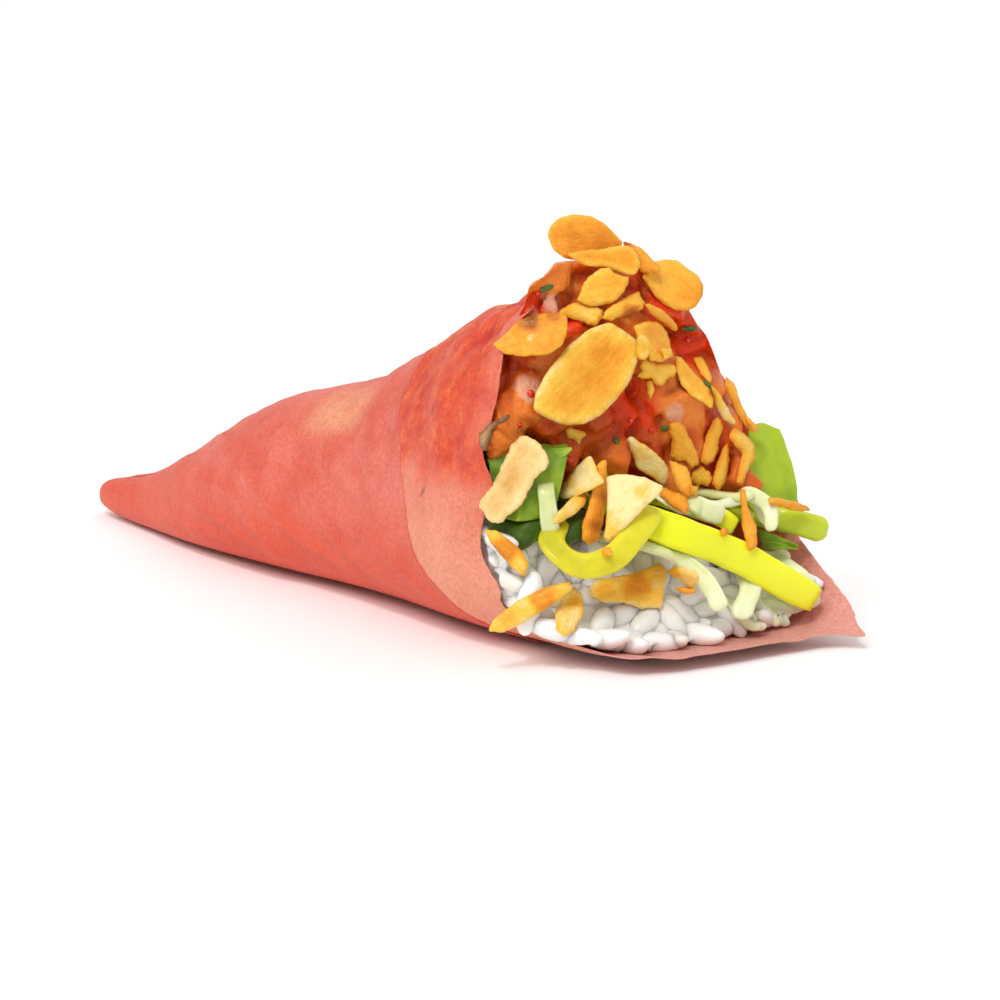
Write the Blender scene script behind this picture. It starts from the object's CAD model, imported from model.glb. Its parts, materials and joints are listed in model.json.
"""A temaki hand roll, dressed: soy paper, rice, salmon, cut vegetables and toasted almonds.

Lengths are in millimetres from the middle of the mouth's sole, with X from the closed tip to the
open mouth and Z up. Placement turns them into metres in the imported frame.
"""

import json
import logging
import math
from dataclasses import dataclass, field, replace
from enum import Enum
from typing import Iterable, Optional, Sequence, Union

import bmesh
import bpy
import numpy as np
from mathutils import Matrix, Vector, geometry, noise
from mathutils.bvhtree import BVHTree

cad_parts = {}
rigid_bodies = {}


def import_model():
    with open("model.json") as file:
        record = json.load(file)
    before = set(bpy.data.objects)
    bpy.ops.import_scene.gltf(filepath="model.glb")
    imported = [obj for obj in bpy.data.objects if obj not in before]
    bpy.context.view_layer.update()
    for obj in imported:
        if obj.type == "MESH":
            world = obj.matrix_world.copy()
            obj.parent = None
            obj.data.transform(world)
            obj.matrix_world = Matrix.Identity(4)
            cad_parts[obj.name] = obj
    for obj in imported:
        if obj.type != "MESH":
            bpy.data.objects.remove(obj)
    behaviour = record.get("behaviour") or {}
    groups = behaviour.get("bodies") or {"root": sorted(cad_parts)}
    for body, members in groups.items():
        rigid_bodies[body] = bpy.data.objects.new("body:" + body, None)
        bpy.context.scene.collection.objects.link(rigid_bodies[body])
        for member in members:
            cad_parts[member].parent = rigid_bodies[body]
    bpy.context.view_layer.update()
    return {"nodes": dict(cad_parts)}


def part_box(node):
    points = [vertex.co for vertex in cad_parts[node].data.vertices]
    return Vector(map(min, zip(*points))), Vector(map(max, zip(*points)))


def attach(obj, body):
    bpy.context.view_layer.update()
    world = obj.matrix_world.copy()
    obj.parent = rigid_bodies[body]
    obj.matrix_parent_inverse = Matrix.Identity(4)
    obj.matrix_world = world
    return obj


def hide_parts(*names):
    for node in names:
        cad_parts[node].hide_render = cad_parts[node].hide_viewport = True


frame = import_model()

LOG = logging.getLogger("temaki")
MM = 0.001
Array = np.ndarray
Faces = list[tuple[int, ...]]
Mesh, Object = bpy.types.Mesh, bpy.types.Object
Socket, Tree = bpy.types.NodeSocket, bpy.types.NodeTree


# ---- colours, nodes and finishes


def linear(code: str) -> tuple[float, float, float, float]:
    """Turns an sRGB hex colour into a linear one.

    Args:
        code: the colour as "#rrggbb".

    Returns:
        Linear red, green, blue and an alpha of 1.
    """
    shares = [int(code[i : i + 2], 16) / 255 for i in (1, 3, 5)]
    rgb = [s / 12.92 if s <= 0.04045 else ((s + 0.055) / 1.055) ** 2.4 for s in shares]
    return (rgb[0], rgb[1], rgb[2], 1.0)


def per_mm(size: float) -> float:
    """The scale of a pattern on Object coordinates whose features are this many millimetres."""
    return 1 / (size * MM)


def add_node(
    tree: Tree,
    kind: str,
    inputs: Optional[dict] = None,
    out: Union[int, str] = 0,
    stops: Sequence[tuple[float, str]] = (),
    **settings: object,
) -> Optional[Socket]:
    """Adds a node with its settings, its values and its links.

    Args:
        tree: the shader or geometry tree.
        kind: the node's type name.
        inputs: by socket name or number, a value or the socket to link from.
        out: the output that is handed back.
        stops: for a colour ramp, its places and hex colours.
        settings: the node's own properties.

    Returns:
        That output of the new node, or None for a node that ends the tree.
    """
    node = tree.nodes.new(kind)
    for key, value in settings.items():
        setattr(node, key, value)
    for key, value in (inputs or {}).items():
        if isinstance(value, Socket):
            tree.links.new(value, node.inputs[key])
        else:
            node.inputs[key].default_value = value
    for k, (place, code) in enumerate(stops):
        elements = node.color_ramp.elements
        element = elements[k] if k < len(elements) else elements.new(place)
        element.position, element.color = place, linear(code)
    return node.outputs[out] if node.outputs else None


class Follows(Enum):
    """Whether a pattern keeps to the whole roll or runs along each piece as it was laid."""

    ROLL = ""
    PIECE = "laid"  # the attribute that holds the piece's own coordinates


@dataclass(frozen=True)
class Grain:
    """A cloudy pattern: its size in millimetres, its share in tone and relief, its own colours."""

    size: float
    detail: float
    roughness: float = 0.5
    tone: float = 0.0
    relief: float = 0.0
    distortion: float = 0.0
    follows: Follows = Follows.ROLL
    name: str = ""
    colours: tuple = ()


@dataclass(frozen=True)
class Finish:
    """One material: how its surface takes light, its patterns, its colours and its relief."""

    name: str
    slot: str
    roughness: float
    ior: float = 1.45
    soak: float = 0.0
    soak_mm: tuple[float, float, float] = (1.0, 0.4, 0.2)
    shine: float = 0.5
    coat: float = 0.0
    coat_roughness: float = 0.1
    # the attribute that the colours run along, and the colours from its low to its high end
    tone: str = ""
    colours: tuple[tuple[float, str], ...] = ()
    grains: tuple[Grain, ...] = ()
    # an attribute and the colour that it brings, or the name of the grain that has it
    tints: tuple[tuple[str, str], ...] = ()
    # the grain whose colours dim the rest, and its share
    dimmed: tuple[str, float] = ("", 0.0)
    # the relief's strength and its height in millimetres, and whether the wet film follows it
    relief: tuple[float, float] = (0.0, 0.0)
    film_follows: bool = False

    def material(self) -> bpy.types.Material:
        """Builds the material once and hands it out again after that."""
        made = bpy.data.materials.get(self.name)
        if made:
            return made
        made = bpy.data.materials.new(self.name)
        made.use_nodes = True
        tree = made.node_tree
        tree.nodes.clear()
        values = {
            "Metallic": 0.0, "Roughness": self.roughness, "IOR": self.ior,
            "Specular IOR Level": self.shine, "Subsurface Weight": self.soak,
            "Subsurface Radius": self.soak_mm, "Subsurface Scale": MM,
            "Coat Weight": self.coat, "Coat Roughness": self.coat_roughness,
        }
        surface = add_node(tree, "ShaderNodeBsdfPrincipled", {**values, **self.paint(tree)})
        add_node(tree, "ShaderNodeOutputMaterial", {"Surface": surface})
        return made

    def paint(self, tree: Tree) -> dict[str, Socket]:
        """Builds the patterns.

        Args:
            tree: the material's tree.

        Returns:
            What goes into the shader's colour and normal sockets.
        """
        where = add_node(tree, "ShaderNodeTexCoord", out="Object")
        tone, height, clouded = 0.0, 0.0, {}
        if self.tone:
            tone = add_node(tree, "ShaderNodeAttribute", None, "Fac", attribute_name=self.tone)
        for grain in self.grains:
            place = where
            if grain.follows is Follows.PIECE:
                name = grain.follows.value
                place = add_node(tree, "ShaderNodeAttribute", None, "Vector", attribute_name=name)
            sizes = {"Scale": per_mm(grain.size), "Detail": grain.detail, "Vector": place}
            sizes.update({"Roughness": grain.roughness, "Distortion": grain.distortion})
            found = add_node(tree, "ShaderNodeTexNoise", sizes, "Fac")
            add = {"operation": "MULTIPLY_ADD"}
            if grain.tone:
                tone = add_node(tree, "ShaderNodeMath", {0: found, 1: grain.tone, 2: tone}, **add)
            if grain.relief:
                sum_of = {0: found, 1: grain.relief, 2: height}
                height = add_node(tree, "ShaderNodeMath", sum_of, **add)
            if grain.colours:
                own = add_node(tree, "ShaderNodeValToRGB", {"Fac": found}, stops=grain.colours)
                clouded[grain.name] = own
        colour = add_node(tree, "ShaderNodeValToRGB", {"Fac": tone}, stops=self.colours)
        for name, code in self.tints:
            share = add_node(tree, "ShaderNodeAttribute", None, "Fac", attribute_name=name)
            tint = clouded[code] if code in clouded else linear(code)
            both = {0: share, 6: colour, 7: tint}
            colour = add_node(tree, "ShaderNodeMix", both, 2, data_type="RGBA")
        name, share = self.dimmed
        if name:
            both = {0: share, 6: colour, 7: clouded[name]}
            kind = {"data_type": "RGBA", "blend_type": "MULTIPLY"}
            colour = add_node(tree, "ShaderNodeMix", both, 2, **kind)
        strength, deep = self.relief
        if not strength:
            return {"Base Color": colour}
        form = {"Height": height, "Strength": strength, "Distance": deep * MM}
        normal = add_node(tree, "ShaderNodeBump", form)
        film = {"Coat Normal": normal} if self.film_follows else {}
        return {"Base Color": colour, "Normal": normal, **film}


# Soy sheet is a thin, dry film, a little see-through, with milled flecks in coral dye. Flesh and
# dressing cling to it from inside in grains and patches, red where they touch it.
PAPER = Finish(
    "coral_soy_sheet", "soy_paper", roughness=0.45, soak=0.2, soak_mm=(1.2, 0.4, 0.25),
    colours=((0.34, "#df5b46"), (0.62, "#ee7765")),
    grains=(
        Grain(7, 6.0, 0.62, tone=1.0),
        Grain(0.5, 3.0, 0.7, relief=1.0, name="flecks",
              colours=((0.3, "#d9bdb8"), (0.5, "#f2eae8"), (0.68, "#ffffff"))),
        Grain(2.8, 7.0, 0.78, name="clinging",
              colours=((0.34, "#f08444"), (0.46, "#e6521a"), (0.57, "#d43610"), (0.7, "#c01c12"))),
    ),
    tints=(
        ("low", "#e5502e"), ("thin", "#f39c76"), ("rice_behind", "#f6a787"),
        ("salmon_behind", "clinging"), ("hollow", "#c01c12"), ("rim", "#dc9c94"),
        ("speckle", "#4a1a10"),
    ),
    dimmed=("flecks", 0.8), relief=(0.5, 0.18),
)
# Boiled short-grain rice is moist, milky and a little see-through, so its shade stays light.
RICE = Finish(
    "boiled_sushi_rice", "cooked_rice", roughness=0.28, ior=1.4, soak=0.6, soak_mm=(1.8, 1.7, 1.3),
    coat=0.3, coat_roughness=0.06, tone="grain_tone", colours=((0.4, "#ece8da"), (1.0, "#fdfbf4")),
    grains=(Grain(2.2, 2.0, tone=1.0, relief=1.0),), relief=(0.2, 0.2),
)
# Chopped raw salmon under a thin chilli dressing is wet and soft, paler where its fat shows and
# deeper where the dressing lies in its hollows.
SALMON = Finish(
    "salmon_in_chilli_dressing", "salmon", roughness=0.35, ior=1.38, soak=0.2,
    soak_mm=(1.4, 0.3, 0.1), shine=0.08, coat=0.38, coat_roughness=0.03, tone="piece_tone",
    colours=((0.15, "#bc400a"), (0.45, "#de5818"), (0.85, "#ea8a34")),
    grains=(Grain(3.5, 4.0, tone=0.45, distortion=0.8), Grain(0.75, 5.0, relief=1.0)),
    tints=(("red", "#e43608"), ("fatty", "#e8ae92"), ("hollow", "#a62e08")),
    relief=(0.8, 0.45), film_follows=True,
)
# Pickled radish is smooth, wet and glassy at its thin edges, with faint fibres along it.
RADISH = Finish(
    "radish_in_yellow_pickle", "pickled_radish", roughness=0.25, soak=0.3, soak_mm=(1.2, 1.1, 0.2),
    shine=0.25, coat=0.12, tone="along",
    colours=((0.2, "#cdc520"), (0.6, "#f0f51c"), (1.0, "#f0f13a")),
    grains=(Grain(1.6, 3.0, tone=0.5, relief=1.0),), relief=(0.2, 0.15),
)
RADISH_SOFT = replace(
    RADISH, name="thin_radish_in_pickle",
    colours=((0.2, "#b5b02a"), (0.6, "#dcd02e"), (1.0, "#e8e344")),
)
RADISH_GREEN = replace(
    RADISH, name="green_radish_in_pickle",
    colours=((0.2, "#8da326"), (0.6, "#bccb30"), (1.0, "#cfd93a")),
)
# Raw daikon is the same wet root without the dye: pale, and more see-through.
DAIKON = replace(
    RADISH, name="raw_daikon_shred", slot="pale_daikon", soak=0.4, soak_mm=(1.6, 1.5, 0.9),
    shine=0.3, coat=0.2, colours=((0.2, "#cbd389"), (0.6, "#e6edb6"), (1.0, "#f1f4d2")),
)
# Fresh lettuce is thin and crisp, brighter at its edge and darker in its blisters.
LETTUCE = Finish(
    "fresh_green_lettuce", "lettuce", roughness=0.45, soak=0.2, soak_mm=(0.6, 0.8, 0.2), shine=0.3,
    tone="along", colours=((0.2, "#3f5a12"), (0.55, "#7d9a22"), (0.95, "#adc52c")),
    grains=(Grain(3.0, 3.0, tone=0.6, relief=1.0),), relief=(0.4, 0.3),
)
# Sliced almond toasted in oil is amber and a little glassy, browner where it touched the pan,
# with fine fibres along the slice.
TOASTED = (0.22, 0.38, 0.60, 0.84, 1.0)
ALMOND = Finish(
    "almond_toasted_in_oil", "toasted_almond", roughness=0.4, soak=0.2, soak_mm=(0.8, 0.5, 0.1),
    shine=0.22, coat=0.07, tone="toast",
    colours=tuple(zip(TOASTED, ("#fae3a4", "#f9c244", "#ec9826", "#bf6a1c", "#783a12"))),
    grains=(
        Grain(0.55, 4.0, 0.6, tone=0.22, relief=1.2, follows=Follows.PIECE),
        Grain(0.45, 3.0, 0.7, tone=0.20, relief=1.0),
    ),
    relief=(0.7, 0.25),
)
CHIP = replace(
    ALMOND, name="pale_toasted_chip", slot="pale_chip", roughness=0.5, soak_mm=(1.0, 0.7, 0.3),
    shine=0.5, coat=0.0,
    colours=tuple(zip(TOASTED, ("#f8e6b0", "#f0cf8a", "#dda758", "#a9682c", "#6b3b18"))),
)
CRUST = replace(
    ALMOND, name="browned_crust", coat=0.0,
    colours=tuple(zip(TOASTED, ("#dcc7a6", "#b98f62", "#96704c", "#6e4c30", "#43301f"))),
)
# Roe is a tight wet bead and a cut chive a dull green tube, each a little cloudy.
ROE = Finish(
    "smelt_roe", "salmon", roughness=0.12, soak=0.4, coat=0.6, grains=(Grain(0.8, 2.0, tone=1.0),),
    colours=((0.35, "#c81e0c"), (0.65, "#f03a1c")),
)
CHIVE = Finish(
    "cut_chive", "lettuce", roughness=0.35, grains=(Grain(0.8, 2.0, tone=1.0),),
    colours=((0.35, "#34501a"), (0.65, "#5c7a2c")),
)


# ---- form


def smooth_step(value: Array, start: float, end: float) -> Array:
    """0 before start, 1 after end and an even S between them."""
    share = np.clip((np.asarray(value, float) - start) / (end - start), 0, 1)
    return share * share * (3 - 2 * share)


def mix(start: Array, end: Array, share: Array) -> Array:
    """The value this share of the way from start to end."""
    return start + (end - start) * share


def lumps(points: Array, size: float, seed: float = 0.0) -> Array:
    """Smooth noise at the points.

    Args:
        points: N by 3, in millimetres.
        size: how wide a lump is, in millimetres.
        seed: moves the pattern.

    Returns:
        One value from about -1 to 1 for each point.
    """
    shift = Vector((seed * 17.3, seed * 5.1, seed * 9.7))
    return np.array([noise.noise(Vector(p) / size + shift) for p in points.tolist()])


class Curve:
    """A smooth curve through (place, value) knots, held flat past its ends."""

    def __init__(self, knots: Sequence[Sequence[float]], column: int = 1) -> None:
        """Works out an even slope at each knot.

        Args:
            knots: rows of numbers, the first of each its place, rising.
            column: the values' column.
        """
        self.places = np.array([knot[0] for knot in knots], float)
        self.values = np.array([knot[column] for knot in knots], float)
        steps = np.diff(self.values) / np.diff(self.places)
        before, after = steps[:-1], steps[1:]
        self.slopes = np.zeros(len(knots))
        turning = before * after > 0
        self.slopes[1:-1][turning] = (2 * before * after)[turning] / (before + after)[turning]

    def __call__(self, place: Array) -> Array:
        """The values at these places.

        Args:
            place: any places.

        Returns:
            A value for each place.
        """
        place = np.clip(np.asarray(place, float), self.places[0], self.places[-1])
        i = np.clip(np.searchsorted(self.places, place, side="right") - 1, 0, len(self.places) - 2)
        width = self.places[i + 1] - self.places[i]
        t = (place - self.places[i]) / width
        rise = (2 * t - 3) * t * t
        bow = (1 - t) * self.slopes[i] - t * self.slopes[i + 1]
        return (1 + rise) * self.values[i] - rise * self.values[i + 1] + width * t * (1 - t) * bow


@dataclass(frozen=True)
class Cone:
    """The cone that the sheet is wound into: its section at each place along X."""

    # X, height, half width, shift in Y, lift of the underside
    stations: tuple = (
        (-129, 3.6, 2.0, -3.2, 1.8), (-126, 4.8, 2.9, -3.4, 1.0), (-120, 6.9, 4.2, -3.5, 0.2),
        (-112, 9.5, 5.8, -3.7, 0.0), (-98, 15.5, 9.2, -4.0, 0.0), (-80, 24.5, 13.2, -2.9, 0.0),
        (-60, 29.6, 15.9, -1.3, 0.0), (-42, 38.4, 19.2, 0.3, 0.0), (-26, 45.4, 22.2, 0.1, 0.0),
        (-12, 47.4, 23.2, -0.1, 0.0), (6, 48.2, 24.8, 0.0, 0.0),
    )
    widest_at: float = 0.40
    upper_power: float = 2.15
    lower_power: float = 3.2
    stack: float = 1.2
    settle: float = 0.5

    def sizes(self, x: Array) -> tuple[Array, ...]:
        """The section inside the paper.

        Args:
            x: places along the roll.

        Returns:
            Its height, half width, shift in Y and the height of its widest place.
        """
        height, half, shift, lift = (Curve(self.stations, c)(x) for c in (1, 2, 3, 4))
        inset = mix(self.stack, 0.6, smooth_step(x, -60, -36))
        height, half = np.maximum(height - 2 * inset, 0.6), np.maximum(half - inset, 0.3)
        return height, half, shift, lift + inset + height * self.widest_at

    def section(self, x: Array, turn: Array, out: Array) -> Array:
        """Points on the cone's section.

        Args:
            x: places along the roll.
            turn: turns round it, counted from the top towards -Y.
            out: how far outside the paper's inner face.

        Returns:
            N by 3 points.
        """
        x, turn, out = np.broadcast_arrays(np.asarray(x, float), turn, out)
        height, half, shift, middle = self.sizes(x)
        side, rise = -np.sin(2 * np.pi * turn), np.cos(2 * np.pi * turn)
        up = height * np.where(rise > 0, 1 - self.widest_at, self.widest_at)
        power = np.where(rise > 0, self.upper_power, self.lower_power)
        y, z = (np.copysign(np.abs(v) ** (2 / power), v) for v in (side, rise))
        bend = [np.copysign(np.abs(v) ** (power - 1), v) / r for v, r in ((y, half), (z, up))]
        normal = np.stack(bend)
        normal /= np.linalg.norm(normal, axis=0)
        y, z = shift + y * half + normal[0] * out, middle + z * up + normal[1] * out
        return np.stack([x, y, z], axis=-1)


CONE = Cone()


@dataclass(frozen=True)
class Mouth:
    """The leaning face of the open end, and the slanting way in which toppings are laid on it."""

    turned: float = math.radians(49)
    raised: float = math.radians(11)
    slope: float = 0.42
    recess: float = 8.0
    recess_from: float = 5.0
    recess_over: float = 18.0
    reach: float = 60.0
    origin: Vector = field(default_factory=lambda: Vector((0, -7, 0)))

    @property
    def across(self) -> Vector:
        """The level direction across the mouth."""
        return Vector((math.cos(self.turned), math.sin(self.turned), 0))

    @property
    def outward(self) -> Vector:
        """The direction out of the mouth, towards one side and a little up."""
        level = math.cos(self.raised)
        x, y = math.sin(self.turned) * level, -math.cos(self.turned) * level
        return Vector((x, y, math.sin(self.raised)))

    @property
    def upward(self) -> Vector:
        """The direction up the mouth, square to the other two."""
        return self.outward.cross(self.across)

    @property
    def lay_in(self) -> Vector:
        """The way in which a topping comes to rest."""
        return (-self.outward + 0.04 * self.across + 0.017 * self.upward).normalized()

    def face_x(self, y: Array, z: Array) -> Array:
        """X of the leaning face at this place."""
        fallen = np.maximum(0.0, -y - self.recess_from) / self.recess_over
        return -self.slope * z - self.recess * fallen**2

    def seen(self, across: float, up: float) -> Vector:
        """The point this far across and up, level with the origin."""
        return self.origin + self.across * across + self.upward * up

    def at(self, across: float, up: float, proud: float) -> Vector:
        """A point on the leaning face.

        Args:
            across: level across the mouth.
            up: up the mouth.
            proud: how far in front of the face.

        Returns:
            The point, found by halving along the way in.
        """
        start = self.seen(across, up)
        inner, outer = -self.reach, self.reach
        for _ in range(24):
            middle = (inner + outer) / 2
            p = start - self.lay_in * middle
            inside = p.x <= self.face_x(p.y, p.z)
            inner, outer = (middle, outer) if inside else (inner, middle)
        return start - self.lay_in * (inner + proud)

    def line(self, *places: float) -> tuple[Vector, ...]:
        """Points on the mouth, each from three numbers: across, up and proud."""
        return tuple(self.at(*places[i : i + 3]) for i in range(0, len(places), 3))

    def flat(self, points: Array) -> tuple[Array, Array]:
        """How far across and how far up these points lie."""
        local = points - np.array(self.origin)
        return local @ np.array(self.across), local @ np.array(self.upward)


MOUTH = Mouth()


class Placement:
    """Where the middle of the mouth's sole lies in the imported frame."""

    offset = Vector((0, 0, 0))

    @classmethod
    def find(cls) -> None:
        """Sets the offset, from the sheet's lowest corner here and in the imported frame."""
        low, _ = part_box("soy_paper")
        own = SoyWrap().plain_points().reshape(-1, 3).min(axis=0)
        cls.offset = Vector(low) / MM - Vector(own)
        LOG.info("the mouth's sole lies at %s", tuple(round(c, 2) for c in cls.offset))


def linked(name: str, data: bpy.types.ID) -> Object:
    """Puts a new object in the scene.

    Args:
        name: the object's name.
        data: a mesh, a light or a camera.

    Returns:
        The object.
    """
    obj = bpy.data.objects.new(name, data)
    bpy.context.scene.collection.objects.link(obj)
    return obj


def piece(
    name: str,
    points: Array,
    faces: Faces,
    finish: Finish,
    replaces: Sequence[str] = (),
    attributes: Optional[dict[str, Array]] = None,
) -> Object:
    """Makes a closed piece from points in millimetres and hands it to the frame.

    Args:
        name: the piece's name.
        points: N by 3, from the middle of the mouth's sole.
        faces: vertex numbers of each face.
        finish: what it is made of.
        replaces: the CAD nodes that it stands for.
        attributes: a value for each point, by attribute name.

    Returns:
        The finished object, its faces turned outwards.
    """
    mesh = bpy.data.meshes.new(name)
    placed = (np.asarray(points, float) + np.array(Placement.offset)) * MM
    mesh.from_pydata(placed.tolist(), [], faces)
    for key, values in (attributes or {}).items():
        flat = np.asarray(values, np.float32)
        kind, slot = ("FLOAT", "value") if flat.ndim == 1 else ("FLOAT_VECTOR", "vector")
        mesh.attributes.new(key, kind, "POINT").data.foreach_set(slot, flat.reshape(-1))
    bm = bmesh.new()
    bm.from_mesh(mesh)
    bmesh.ops.recalc_face_normals(bm, faces=bm.faces[:])
    bm.to_mesh(mesh)
    bm.free()
    return finished(name, mesh, finish, replaces)


def finished(name: str, mesh: Mesh, finish: Finish, replaces: Sequence[str] = ()) -> Object:
    """Links a mesh as a smooth, dressed piece that rides on the roll.

    Args:
        name: the piece's name.
        mesh: its mesh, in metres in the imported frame.
        finish: what it is made of.
        replaces: the CAD nodes that it stands for.

    Returns:
        The finished object.
    """
    mesh.name = name
    mesh.materials.clear()
    mesh.materials.append(finish.material())
    mesh.polygons.foreach_set("material_index", [0] * len(mesh.polygons))
    mesh.polygons.foreach_set("use_smooth", [True] * len(mesh.polygons))
    mesh.update()
    obj = linked(name, mesh)
    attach(obj, "root")
    if replaces:
        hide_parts(*replaces)
    LOG.info("%s: %d faces", name, len(mesh.polygons))
    return obj


def grid_faces(rows: int, columns: int, start: int = 0, flip: bool = False) -> Faces:
    """The faces of a grid of points numbered row by row.

    Args:
        rows: of points.
        columns: of points.
        start: the first point's number.
        flip: turns the faces over.

    Returns:
        Each face's point numbers.
    """
    corners = [start + i * columns + j for i in range(rows - 1) for j in range(columns - 1)]
    faces = [(a, a + columns, a + columns + 1, a + 1) for a in corners]
    return [face[::-1] for face in faces] if flip else faces


def sheet_faces(rows: int, columns: int) -> Faces:
    """Closes a thin sheet.

    Args:
        rows: of points in each grid.
        columns: of points in each grid.

    Returns:
        The faces of the inner grid, of the outer grid and of the wall between them.
    """
    count = rows * columns
    faces = grid_faces(rows, columns) + grid_faces(rows, columns, count, flip=True)
    edge = [(0, j) for j in range(columns)]
    edge += [(i, columns - 1) for i in range(1, rows)]
    edge += [(rows - 1, j) for j in range(columns - 2, -1, -1)]
    edge += [(i, 0) for i in range(rows - 2, 0, -1)]
    for (i, j), (k, m) in zip(edge, edge[1:] + edge[:1]):
        a, b = i * columns + j, k * columns + m
        faces.append((a, b, count + b, count + a))
    return faces


def loft(rings: Array) -> tuple[Array, Faces]:
    """Makes a closed body through rings.

    Args:
        rings: rings by points by 3.

    Returns:
        Points and faces, fanned to the middle at both ends.
    """
    count, size = rings.shape[0], rings.shape[1]
    faces = []
    for a in range(0, (count - 1) * size, size):
        for i in range(size):
            j = (i + 1) % size
            faces.append((a + i, a + j, a + size + j, a + size + i))
    first, last, end = count * size, count * size + 1, (count - 1) * size
    for i in range(size):
        j = (i + 1) % size
        faces += [(first, j, i), (end + i, end + j, last)]
    ends = np.stack([rings[0].mean(axis=0), rings[-1].mean(axis=0)])
    return np.concatenate([rings.reshape(-1, 3), ends]), faces


def smooth_path(points: Sequence[Vector], count: int) -> Array:
    """Follows a Catmull-Rom curve.

    Args:
        points: what the curve goes through.
        count: how many points it gets.

    Returns:
        Count by 3 points.
    """
    knots = np.array([tuple(p) for p in points], float)
    line = np.concatenate([[2 * knots[0] - knots[1]], knots, [2 * knots[-1] - knots[-2]]])
    made = []
    for k in range(count):
        place = k / (count - 1) * (len(knots) - 1)
        i = min(int(place), len(knots) - 2)
        t = place - i
        p0, p1, p2, p3 = line[i : i + 4]
        bend, twist = 2 * p0 - 5 * p1 + 4 * p2 - p3, 3 * p1 - p0 - 3 * p2 + p3
        made.append(0.5 * (2 * p1 + (p2 - p0) * t + bend * t * t + twist * t**3))
    return np.array(made)


# ---- the soy paper


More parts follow.
